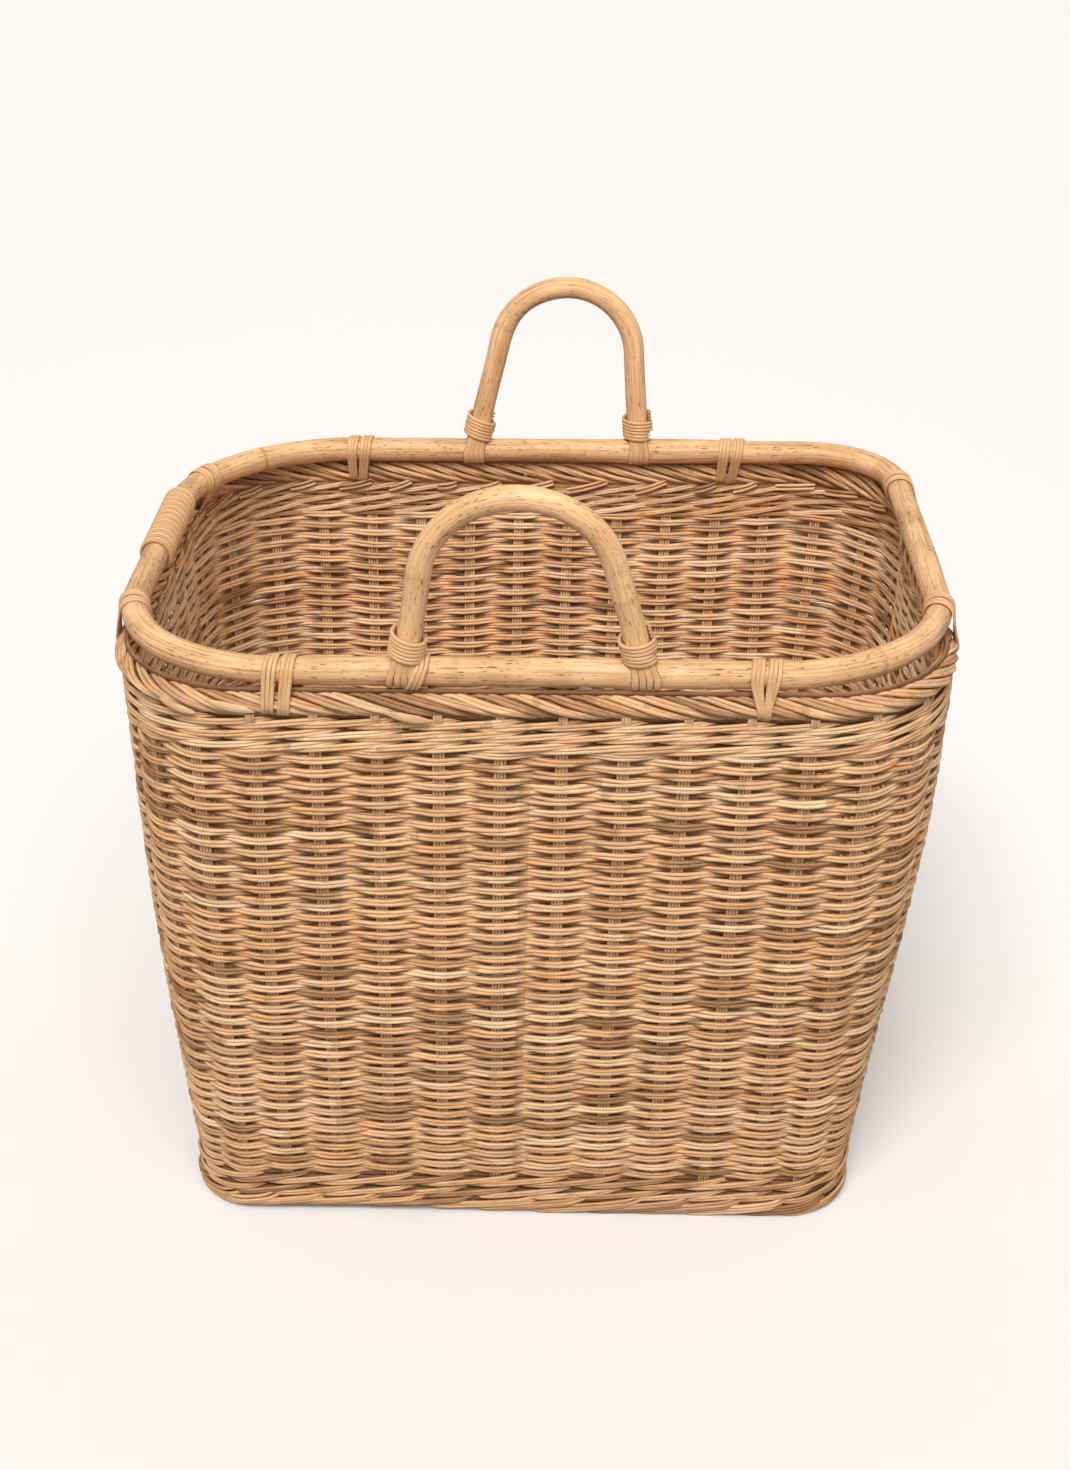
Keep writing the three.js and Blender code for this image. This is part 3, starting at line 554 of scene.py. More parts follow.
GRAIN = "Cane Grain"
GRAIN_INPUTS = (
    ("Map", "Vector", None),
    ("Tone", "Float", 0.5),
    ("Radius", "Float", 0.001),
    ("Fibre Scale", "Float", 900.0),
    ("Fibre Stretch", "Float", 0.05),
    ("Blotch Scale", "Float", 60.0),
    ("Fleck Scale", "Float", 500.0),
    ("Fleck Stretch", "Float", 0.12),
    ("Fleck Cover", "Float", 0.3),
)
GRAIN_OUTPUTS = [(name, "Float") for name in ("Fibre", "Blotch", "Fleck", "Height", "Inward")]

# Sockets that a Mix node uses for colours
MIX_FACTOR, MIX_FIRST, MIX_SECOND, MIX_RESULT = 0, 6, 7, 2


def noise_at(tree, place, scale, detail, roughness=0.5):
    values = {"Vector": place, "Scale": scale, "Detail": detail, "Roughness": roughness}
    return node(tree, "ShaderNodeTexNoise", values).outputs["Fac"]


def grain_group():
    """Long fibres, blotches and short dark flecks on a cane or pole, from its own map. Inward is 1
    on the side of the cane that faces into the basket and -1 on the side that faces out."""
    found = bpy.data.node_groups.get(GRAIN)
    if found:
        return found
    tone_shift, fleck_edge, fleck_depth = 7.3, 0.05, 0.6
    tree, given = new_tree(GRAIN, "ShaderNodeTree", GRAIN_INPUTS, GRAIN_OUTPUTS)
    split = node(tree, "ShaderNodeSeparateXYZ", {0: given["Map"]}).outputs
    angle = times(tree, split["Y"], TURN)
    inward = math_node(tree, "COSINE", angle)
    x = times(tree, inward, given["Radius"])
    y = times(tree, math_node(tree, "SINE", angle), given["Radius"])
    far = times(tree, given["Tone"], tone_shift)

    def noise(stretch, scale, detail, roughness, shift):
        along = math_node(tree, "ADD", times(tree, split["X"], stretch), far)
        at = node(tree, "ShaderNodeCombineXYZ", {"X": x, "Y": y, "Z": along}).outputs[0]
        moved = vector_node(tree, "ADD", at, (shift, 0, 0))
        return noise_at(tree, moved, scale, detail, roughness)

    fibre = noise(given["Fibre Stretch"], given["Fibre Scale"], 3, 0.6, 0.0)
    blotch = noise(0.6, given["Blotch Scale"], 3, 0.55, 3.1)
    spots = noise(given["Fleck Stretch"], given["Fleck Scale"], 1, 0.4, 5.7)
    low = math_node(tree, "SUBTRACT", 1.0, given["Fleck Cover"])
    high = math_node(tree, "ADD", low, fleck_edge)
    limits = {"Value": spots, "From Min": low, "From Max": high}
    fleck = node(tree, "ShaderNodeMapRange", limits, interpolation_type="SMOOTHSTEP").outputs[0]
    height = math_node(tree, "SUBTRACT", fibre, times(tree, fleck, fleck_depth))
    masks = fibre, blotch, fleck, height, inward
    node(tree, "NodeGroupOutput", {name: mask for (name, _), mask in zip(GRAIN_OUTPUTS, masks)})
    return tree


def ramp(tree, factor, stops):
    made = node(tree, "ShaderNodeValToRGB", {"Fac": factor})
    elements = made.color_ramp.elements
    while len(elements) < len(stops):
        elements.new(0.5)
    for element, (place, tint) in zip(elements, stops):
        element.position = place
        element.color = (*tint, 1)
    return made.outputs["Color"]


def mix(tree, factor, first, second, blend="MIX"):
    """Blends two colours, each a socket or three numbers."""
    ends = [end if isinstance(end, bpy.types.NodeSocket) else (*end, 1) for end in (first, second)]
    given = {MIX_FACTOR: factor, MIX_FIRST: ends[0], MIX_SECOND: ends[1]}
    made = node(tree, "ShaderNodeMix", given, data_type="RGBA", blend_type=blend)
    return made.outputs[MIX_RESULT]


def darkened(tree, tint, value):
    """A colour times a value that changes over the surface."""
    grey = node(tree, "ShaderNodeCombineColor", {0: value, 1: value, 2: value}).outputs[0]
    return mix(tree, 1.0, tint, grey, "MULTIPLY")


def dyed(tint, *factors):
    """A colour times one factor, or times one each for red, green and blue."""
    factors = factors if len(factors) == 3 else factors * 3
    return tuple(min(1, part * factor) for part, factor in zip(tint, factors))


def fitted(tree, value, low, high, to_low, to_high):
    limits = {"Value": value, "From Min": low, "From Max": high, "To Min": to_low, "To Max": to_high}
    return node(tree, "ShaderNodeMapRange", limits).outputs[0]


def spanned(tree, noise, to_low, to_high):
    """The range that most of a noise lies in, fitted to two values."""
    return fitted(tree, noise, 0.3, 0.7, to_low, to_high)


def attribute(tree, name):
    return node(tree, "ShaderNodeAttribute", attribute_name=name).outputs["Fac"]


def new_material(name):
    made = bpy.data.materials.new(name)
    made.use_nodes = True
    tree = made.node_tree
    tree.nodes.clear()
    shader = node(tree, "ShaderNodeBsdfPrincipled")
    node(tree, "ShaderNodeOutputMaterial", {"Surface": shader.outputs[0]})
    return made, tree, shader


def surface(tree, shader, tint, roughness, height, depth):
    """Joins a colour, a roughness and the relief of a height to the shader."""
    bump = node(tree, "ShaderNodeBump", {"Height": height, "Distance": depth, "Strength": 1.0})
    for name, source in (("Base Color", tint), ("Roughness", roughness), ("Normal", bump.outputs[0])):
        tree.links.new(source, shader.inputs[name])


def grain_of(tree, **values):
    """The grain of the piece's own map, with the tone of its cane."""
    tone = attribute(tree, "tone")
    own_map = node(tree, "ShaderNodeUVMap", uv_map="UVMap").outputs[0]
    given = {key.replace("_", " ").title(): value for key, value in values.items()}
    given.update({"Map": own_map, "Tone": tone})
    return node(tree, "ShaderNodeGroup", given, node_tree=grain_group()).outputs, tone


def painted_flank_shade(tree, grain, depth):
    """Painted shade where canes touch: 1 on a cane's face and back, and as low as depth on its flanks,
    where it touches others.
    """
    return fitted(tree, math_node(tree, "ABSOLUTE", grain["Inward"]), 0.0, 0.4, depth, 1.0)


def woven_material(name, light, mid, dark, aged, painted_shade, radius):
    """Thin round canes from dark to light, some of them aged, with painted shade on the sides where
    they hide in the weave.
    """
    found = bpy.data.materials.get(name)
    if found:
        return found
    made, tree, shader = new_material(name)
    grain, tone = grain_of(
        tree, radius=radius, fibre_scale=1500.0, fibre_stretch=0.06, blotch_scale=55.0,
        fleck_scale=700.0, fleck_stretch=0.1, fleck_cover=0.33,
    )
    blotched = math_node(tree, "ADD", tone, spanned(tree, grain["Blotch"], -0.16, 0.16))
    toned = ramp(tree, blotched, [(0.0, dark), (0.4, mid), (1.0, light)])
    own = node(tree, "ShaderNodeTexWhiteNoise", {"W": tone}, noise_dimensions="1D").outputs["Value"]
    base = mix(tree, fitted(tree, own, 0.55, 1.0, 0.0, 0.75), toned, aged)
    # Fibre streaks, times the painted shade on the flanks where canes touch
    kept = times(tree, spanned(tree, grain["Fibre"], 0.72, 1.16), painted_flank_shade(tree, grain, 0.58))
    flecked = mix(tree, times(tree, grain["Fleck"], 0.5), darkened(tree, base, kept), dark)
    # Painted shade: the side of a cane that faces the middle of the weave, away from where the cane
    # lies, is mixed towards the hidden-shade colour
    inner = times(tree, attribute(tree, "mark"), grain["Inward"])
    final = mix(tree, fitted(tree, inner, 0.1, 0.7, 0.0, 0.8), flecked, painted_shade)
    rough = spanned(tree, grain["Fibre"], 0.48, 0.68)
    surface(tree, shader, final, rough, grain["Height"], 0.00025)
    return made


def woven(context):
    look = context.scene.basket_colours
    tones = look.weave_light, look.weave_mid, look.weave_dark, look.weave_pink, look.weave_painted_shade
    return woven_material("Woven Cane", *tones, context.scene.basket_weave.weaver / 2)


def staked(context):
    look = context.scene.basket_colours
    tones = dyed(look.stake, 1.2), look.stake, dyed(look.stake, 0.6), look.weave_mid, look.weave_painted_shade
    return woven_material("Stake Cane", *tones, context.scene.basket_weave.stake / 2)


def pole_material(look):
    """Peeled rattan with long dark grain, flecks and nodes. A high tone is a paler pole with fainter
    grain; the handles' higher tones are painted light, standing in for the stronger light on their
    fronts.
    """
    made, tree, shader = new_material("Rattan Pole")
    grain, tone = grain_of(
        tree, radius=0.008, fibre_scale=640.0, fibre_stretch=0.03, blotch_scale=42.0,
        fleck_scale=1000.0, fleck_stretch=0.17, fleck_cover=0.345,
    )
    paleness = times(tree, tone, 0.45)
    blotch = math_node(tree, "ADD", paleness, fitted(tree, grain["Blotch"], 0.34, 0.66, 0.0, 1.0))
    base = mix(tree, blotch, dyed(look.pole, 0.78, 0.7, 0.6), dyed(look.pole, 1.16, 1.06, 1.03))
    streak = fitted(tree, grain["Fibre"], 0.33, 0.57, 0.75, 0.0)
    kept = times(tree, streak, fitted(tree, tone, 0.0, 1.0, 1.0, 0.25))
    lined = mix(tree, kept, base, look.pole_dark)
    spotted = times(tree, grain["Fleck"], fitted(tree, grain["Blotch"], 0.42, 0.6, 0.85, 0.1))
    flecked = mix(tree, spotted, lined, dyed(look.pole_dark, 0.5))
    ringed = mix(tree, times(tree, attribute(tree, "mark"), 0.6), flecked, look.pole_dark)
    shader.inputs["Specular IOR Level"].default_value = 0.35
    rough = spanned(tree, grain["Fibre"], 0.5, 0.34)
    surface(tree, shader, ringed, rough, grain["Height"], 0.0005)
    return made


def binding_material(look):
    """Split cane with its smooth skin outside. A low tone is a duller cane."""
    made, tree, shader = new_material("Binding Cane")
    grain, tone = grain_of(
        tree, radius=0.002, fibre_scale=900.0, fibre_stretch=0.04, blotch_scale=70.0,
        fleck_scale=600.0, fleck_stretch=0.1, fleck_cover=0.32,
    )
    dull = fitted(tree, tone, 0.0, 1.0, 0.35, 0.0)
    toned = math_node(tree, "ADD", spanned(tree, grain["Blotch"], 0.0, 0.35), dull)
    base = mix(tree, toned, look.binding, look.binding_dark)
    streak = fitted(tree, grain["Fibre"], 0.35, 0.65, 0.35, 0.0)
    lined = mix(tree, streak, base, look.binding_dark)
    flecked = mix(tree, times(tree, grain["Fleck"], 0.5), lined, look.pole_dark)
    # Painted shade on the flanks, where the binding canes touch others
    final = darkened(tree, flecked, painted_flank_shade(tree, grain, 0.55))
    rough = spanned(tree, grain["Fibre"], 0.46, 0.34)
    surface(tree, shader, final, rough, grain["Height"], 0.0003)
    return made


def nail_material(look):
    """Dull wire with a little rust."""
    made, tree, shader = new_material("Nail Steel")
    dull = noise_at(tree, node(tree, "ShaderNodeTexCoord").outputs["Object"], 900.0, 4)
    rust = ramp(tree, dull, [(0.4, look.nail), (0.75, look.nail_rust)])
    shader.inputs["Metallic"].default_value = 1.0
    surface(tree, shader, rust, spanned(tree, dull, 0.3, 0.6), dull, 0.0001)
    return made


def floor_material(look, stage):
    """Paper that is white to the camera and gives back little light. Its own white stops under the
    basket, and it is clear from below."""
    made, tree, shader = new_material("Studio Floor")
    under_basket, edge = (0.195, 0.132), 0.01
    place = node(tree, "ShaderNodeTexCoord").outputs["Object"]
    dust = noise_at(tree, place, 3.0, 3)
    tint = mix(tree, spanned(tree, dust, 0.0, 1.0), dyed(look.floor, 0.997), look.floor)
    seen = node(tree, "ShaderNodeLightPath").outputs["Is Camera Ray"]
    paper = mix(tree, seen, dyed(look.floor, stage.bounce), tint)
    tree.links.new(paper, shader.inputs["Base Color"])
    shader.inputs["Roughness"].default_value = 0.95
    shader.inputs["Specular IOR Level"].default_value = 0.0
    white = node(tree, "ShaderNodeEmission", {"Color": tint, "Strength": stage.paper})
    past_x, past_y = (
        math_node(tree, "SUBTRACT", math_node(tree, "ABSOLUTE", at), half)
        for at, half in zip(node(tree, "ShaderNodeSeparateXYZ", {0: place}).outputs, under_basket)
    )
    outside = math_node(tree, "MAXIMUM", past_x, past_y)
    share = times(tree, seen, fitted(tree, outside, 0.0, edge, 0.0, stage.lift))
    both = node(tree, "ShaderNodeMixShader", {0: share, 1: shader.outputs[0], 2: white.outputs[0]})
    below = node(tree, "ShaderNodeNewGeometry").outputs["Backfacing"]
    clear = node(tree, "ShaderNodeBsdfTransparent")
    sided = node(tree, "ShaderNodeMixShader", {0: below, 1: both.outputs[0], 2: clear.outputs[0]})
    tree.links.new(sided.outputs[0], tree.nodes["Material Output"].inputs["Surface"])
    return made


# Pieces

LEFT_RIGHT = {-1: "left", 1: "right"}
FRONT_BACK = {-1: "front", 1: "back"}

# Points per stake along the canes of wales and borders, and how far these canes wander
PER_STAKE = 8
WALE_WANDER = 0.0003


def lay_woven(context, name, strands, replaced, width, thickness=None, **more):
    """Lays thin round canes as one piece, with their finish."""
    lay(name, strands, woven(context), [replaced], "woven_cane", width, thickness, **more)


def respliced(tone, t, rng, run, spread):
    """The tones of a pair of canes with the splices of one of them."""
    return np.clip(tone + splices(t, rng, run, spread, 0), 0, 1)


class BASKET_OT_wall(Operator):
    """Weaves the wall from pairs of canes that go in front of one stake and behind the next"""

    bl_idname = "basket.wall"
    bl_label = "Weave the Wall"

    PARTS = 4
    PLACES_PER_STAKE = 6
    CROWDING = 1.06
    DEPTH = 1.16
    FLATNESS = 0.7
    SWAY_KEPT = 0.96
    SWAY_NEW = 0.28
    SWAY_SHARE = 0.18
    EVEN_ROWS = 4
    LANES_APART = 1.06
    LANES_CLOSER = 0.2
    TWIST = 0.3
    SMILE = 1.0
    BALANCE_PLACES = (5, 7.5, 15, 18)
    BALANCE_SHARES = (-0.2, 1.4, 1.4, 1.05)

    def execute(self, context):
        weave = context.scene.basket_weave
        rng = np.random.default_rng(11)
        bottom, top = band("wall_weave")[0], WALE_BOTTOM - BAND_GAP
        edges = bottom + (top - bottom) * (np.arange(weave.rows + 1) / weave.rows) ** self.CROWDING
        s = np.arange(0, STAKES, 1 / self.PLACES_PER_STAKE)
        sway = drift(s, STAKES, rng, 2, 9)
        from_front = np.minimum(s, STAKES - s)
        drop = -weave.balance / MM * np.interp(from_front, self.BALANCE_PLACES, self.BALANCE_SHARES)
        for number, rows in enumerate(np.array_split(np.arange(weave.rows), self.PARTS), 1):
            strands = Strands()
            for row in rows:
                low, high = edges[row], edges[row + 1]
                sway = self.SWAY_KEPT * sway + self.SWAY_NEW * drift(s, STAKES, rng, 2, 12)
                near = np.minimum(row, weave.rows - 1 - row) / self.EVEN_ROWS
                z = (low + high) / 2 + self.SWAY_SHARE * (high - low) * sway * min(1, near)
                swing = np.tanh(self.FLATNESS * np.cos(math.pi * (s - 0.5) + math.pi * row))
                wave = swing / math.tanh(self.FLATNESS)
                slack = 1 - wave**2
                apart = self.LANES_APART - self.LANES_CLOSER * slack
                apart = apart * uneven(s, STAKES, rng, 0.04, 8, 40)
                points, out = wall(s, z + drop * wave + self.SMILE * slack)
                pair_tone = splices(s, rng, 4, 0.25, painted_shade_tone(low))
                twist = self.TWIST * slack * drift(s, STAKES, rng, 8, 30)
                for side in (-1, 1):
                    tone = respliced(pair_tone, s, rng, 7, 0.14)
                    thick = uneven(s, STAKES, rng, 0.06, 3, 20)
                    swing = wave * uneven(s, STAKES, rng, 0.06, 5, 40) + side * twist
                    # mark carries the wave, which paints shade on the side of each cane hidden in the
                    # weave
                    strands.add(
                        points, out, closed=True, wave=swing, lane=side * apart / 2, thick=thick,
                        tone=tone, mark=wave,
                    )
            lay_woven(
                context, f"wall_rows_{number}", strands, "wall_weave", weave.weaver,
                weave.weaver * self.DEPTH, wave=weave.wave, lane=weave.pair, wander=weave.wander,
                scale=60.0,
            )
        return {"FINISHED"}


def stake_line(index, side_x, side_y):
    """Ring place and outward normal of a stake in the quarter that the sides name."""
    s, half = index + 0.5, STAKES // 2
    s = {(1, -1): s, (1, 1): half - s, (-1, 1): half + s, (-1, -1): STAKES - s}[(side_x, side_y)]
    out = wall([s], 0.0)[1][0] + wall([s], BORDER_TOP)[1][0]
    return s, out / np.linalg.norm(out)


def leg_points(line, z):
    """Points of a stake's leg at heights."""
    z = np.atleast_1d(z)
    return wall(np.full(len(z), line[0]), z)[0]


class BASKET_OT_stakes(Operator):
    """Sets the stakes, which are flat groups of four canes, and their runs under the base"""

    bl_idname = "basket.stakes"
    bl_label = "Set the Stakes"

    SPACING = 1.03
    FLATNESS = 0.8
    LEG_POINTS = 16
    RUN_POINTS = 14
    BEND_ANGLES = (math.pi / 6, math.pi / 3, math.pi / 2)

    def leg(self, line, along, inward, run_height, lane):
        """One cane of a leg, from its top down to the run."""
        across = np.cross(line[1], (0, 0, 1))
        across = across * np.sign(across @ along)
        bend = run_height + RUN_BEND
        points = leg_points(line, np.linspace(STAKE_TOP, bend, self.LEG_POINTS)) + across * lane
        last = leg_points(line, bend)[0] + along * lane
        turns = [
            last + inward * RUN_BEND * (1 - math.cos(a)) - np.array((0, 0, RUN_BEND * math.sin(a)))
            for a in self.BEND_ANGLES
        ]
        return np.concatenate([points, turns])

    def hairpin(self, strands, first, second, run_height, spacing, rng):
        """Four canes down one leg, along the run under the base and up the other leg."""
        start, end = (leg_points(line, run_height + RUN_BEND)[0] for line in (first, second))
        run = (end - start) / np.linalg.norm(end - start)
        along = np.cross(run, (0, 0, 1))
        share = np.linspace(0, 1, self.RUN_POINTS + 2)[1:-1, None]
        for lane in STAKE_LANES:
            near = self.leg(first, along, run, run_height, lane * spacing)
            far = self.leg(second, along, -run, run_height, lane * spacing)[::-1]
            middle = near[-1] + (far[0] - near[-1]) * share
            self.put(strands, np.concatenate([near, middle, far]), first[1], rng)

    def post(self, strands, line, spacing, rng):
        """Four canes that end under the foot's wale."""
        across = np.cross(line[1], (0, 0, 1))
        heights = np.linspace(STAKE_TOP, STAKE_BOTTOM, self.LEG_POINTS)
        for lane in STAKE_LANES:
            self.put(strands, leg_points(line, heights) + across * lane * spacing, line[1], rng)

    def put(self, strands, points, out, rng):
        t = np.arange(len(points), dtype=float)
        tone = np.clip(0.5 + 0.18 * rng.normal() + 0.08 * drift(t, len(t), rng, 1, 4), 0, 1)
        strands.add(points, out, tone=tone, thick=uneven(t, len(t), rng, 0.05, 1, 8))

    def execute(self, context):
        width = context.scene.basket_weave.stake
        rng = np.random.default_rng(23)
        spacing = width / MM * self.SPACING
        strands, nodes = Strands(), []
        for index in range(PER_QUARTER):
            for side in (-1, 1):
                if index == CORNER_POST:
                    for side_y in (-1, 1):
                        self.post(strands, stake_line(index, side, side_y), spacing, rng)
                        nodes.append(f"corner_post_{FRONT_BACK[side_y]}_{LEFT_RIGHT[side]}")
                    continue
                if index < CORNER_POST:
                    lines = stake_line(index, side, -1), stake_line(index, side, 1)
                    run_height, name = LOW_RUN, f"depth_stake_{LEFT_RIGHT[side]}"
                else:
                    lines = stake_line(index, -1, side), stake_line(index, 1, side)
                    run_height, name = HIGH_RUN, f"width_stake_{FRONT_BACK[side]}"
                self.hairpin(strands, *lines, run_height, spacing, rng)
                nodes.append(f"{name}_{index + 1:02d}")
        lay(
            "stakes", strands, staked(context), nodes, "stake_cane", width, width * self.FLATNESS,
            wander=0.0002, scale=45.0,
        )
        return {"FINISHED"}


def painted_shade_core(strands, z, thick, offset=0.0, per_stake=3):
    """A dark cane that runs straight through a band, hidden between its strands. Its low tone and its
    mark of -1 paint the gaps between the strands as shade.
    """
    t = np.arange(0, STAKES, 1 / per_stake)
    points, out = wall(t, z, offset)
    # Painted shade: tone 0.1 and mark -1 make it dark where it shows through the gaps
    strands.add(points, out, closed=True, thick=thick, tone=0.1, mark=-1.0)


def wale(strands, bottom, top, rows, cane, rng):
    """Rows of a three-rod wale. A pair of canes goes in front of two stakes and behind the third,
    rising to the right, and closes on itself after three rounds."""
    swing, flatness, outward, twist = 3.2, 1.6, 0.3, 0.7
    slope, sway, apart, closer = 0.85, 0.3, 0.34, 0.1
    height, rounds = (top - bottom) / rows, 3 * STAKES
    painted_shade_core(strands, bottom - 0.8, 1.0, offset=-0.8)
    for gap in range(2 * rows + 1):
        painted_shade_core(strands, bottom + np.clip(height * gap / 2, 0.2, top - bottom - 1.4), 1.25, offset=-0.6)
    t = np.arange(0, rounds, 1 / PER_STAKE)
    for row in range(rows):
        u = ((t - row) / 3) % 1
        rise = np.where(u < 2 / 3, 1.5 * u - 0.5, 0.5 - 3 * (u - 2 / 3))
        offset = swing * np.tanh(flatness * (np.cos(TURN * (u - 1 / 3)) + outward)) - twist * rise
        z = bottom + height * (row + 0.5) + rise * slope * height
        z = z + sway * drift(t, rounds, rng, 4, 20)
        front = np.clip(offset / swing, -1, 1)
        pair_tone = splices(t, rng, 6, 0.2, painted_shade_tone(bottom) + 0.04)
        for side in (-1, 1):
            points, out = wall(t, z + side * cane * (apart + closer * front), offset)
            tone = respliced(pair_tone, t, rng, 8, 0.12)
            thick = uneven(t, rounds, rng, 0.05, 5, 40)
            # mark: how far out the cane lies, for the painted shade on its hidden side
            strands.add(points, out, closed=True, tone=tone, thick=thick, mark=front)


def rope(strands, low, high, cane, rng):
    """Bundles of two canes that wind round the border's middle line and fall to the right on the
    outside. They close after as many rounds as there are bundles."""
    bundles, windings, canes = 6, 89, 2
    half_through, half_up = 5.2, (high - low - cane) / 2
    gather, tilt, stray, point = 0.68, 1.2, 0.4, 0.97
    rounds = bundles * STAKES
    t = np.arange(0, rounds, 1 / PER_STAKE)
    spread = TURN / (bundles * canes) * gather
    bundle_tone = splices(t, rng, 2.5, 0.2, 0.36)
    shift = stray * drift(t, rounds, rng, 30, 120)
    swell = uneven(t, rounds, rng, 0.1, 30, 120)
    for number in range(canes):
        lane = number - (canes - 1) / 2
        angle = TURN * (-windings / bundles) * t / STAKES + lane * spread
        level = np.arcsin(point * np.sin(angle)) / math.asin(point)
        offset = (half_through * swell - tilt * lane) * np.cos(angle)
        z = (low + high) / 2 + half_up * level + shift * np.abs(np.cos(angle))
        points, out = wall(t, z, offset)
        tone = respliced(bundle_tone, t, rng, 6, 0.1)
        thick = uneven(t, rounds, rng, 0.05, 20, 90)
        # mark: how far out the cane lies, for the painted shade on its hidden side
        strands.add(points, out, closed=True, tone=tone, thick=thick, mark=np.cos(angle))


def scallops(strands, cane, rng):
    """The foot border: from each stake a bundle comes out low, sags to the floor, then rises to the
    right over the next bundle and goes in. Left of the front's middle it stands clear of the floor."""
    u = np.linspace(-0.8, 3.0, 31)
    sag_at, blunt, climb, highest, under_wale = 0.5, 0.16, 5.4, 9.4, 11.5
    inside, outside, overlap = -3.2, 4.0, 1.3
    raised, squeezed = 3.8, 12
    rise = cane / 2 + 0.05 + climb * (np.hypot(u - sag_at, blunt) - blunt)
    out_share = step_up(u, -0.35, 0.3) - step_up(u, 1.9, 2.6)
    offset = inside + (outside - inside) * out_share + overlap * step_up(u, 0.6, 1.4) * out_share
    for stake in range(STAKES):
        worn = raised * (step_up(stake, 36.5, 38.5) - step_up(stake, 41.5, 44.5))
        bundle_tone = painted_shade_tone(0) + 0.16 * rng.normal()
        early = rng.normal() * 0.06
        for lane in range(3):
            stray = 0.12 * rng.normal() * step_up(u, 0.7, 1.5)
            z = np.minimum(rise, highest) + lane * cane * 0.9 + stray
            z = z + worn * (1 - z / squeezed)
            lean = 0.35 * (1 - abs(lane - 1)) + 0.2 * rng.normal()
            place = stake + u + early + 0.04 * rng.normal()
            points, out = wall(place, np.minimum(z, under_wale), offset + lean)
            points[:, 2] = z
            tone = strayed(bundle_tone, 0.1, rng)
            # mark: how far out the bundle lies, for the painted shade on its hidden side
            strands.add(points, out, tone=tone, thick=1 + 0.04 * rng.normal(), mark=2 * out_share - 1)


class BASKET_OT_foot(Operator):
    """Weaves the two rows above the foot and the foot border that the basket stands on"""

    bl_idname = "basket.foot"
    bl_label = "Weave the Foot"

    def execute(self, context):
        weave = context.scene.basket_weave
        rng = np.random.default_rng(37)
        strands = Strands()
        wale(strands, *band("foot_wale"), 2, weave.wale / MM, rng)
        lay_woven(context, "foot_wale_canes", strands, "foot_wale", weave.wale, wander=WALE_WANDER)
        strands = Strands()
        low, high = band("foot_border")
        scallops(strands, weave.border / MM, rng)
        painted_shade_core(strands, (low + high) / 2 + 1, 2.2)
        painted_shade_core(strands, high, 1.4, offset=1.5)
        lay_woven(context, "foot_border_canes", strands, "foot_border", weave.border, wander=0.0001)
        return {"FINISHED"}


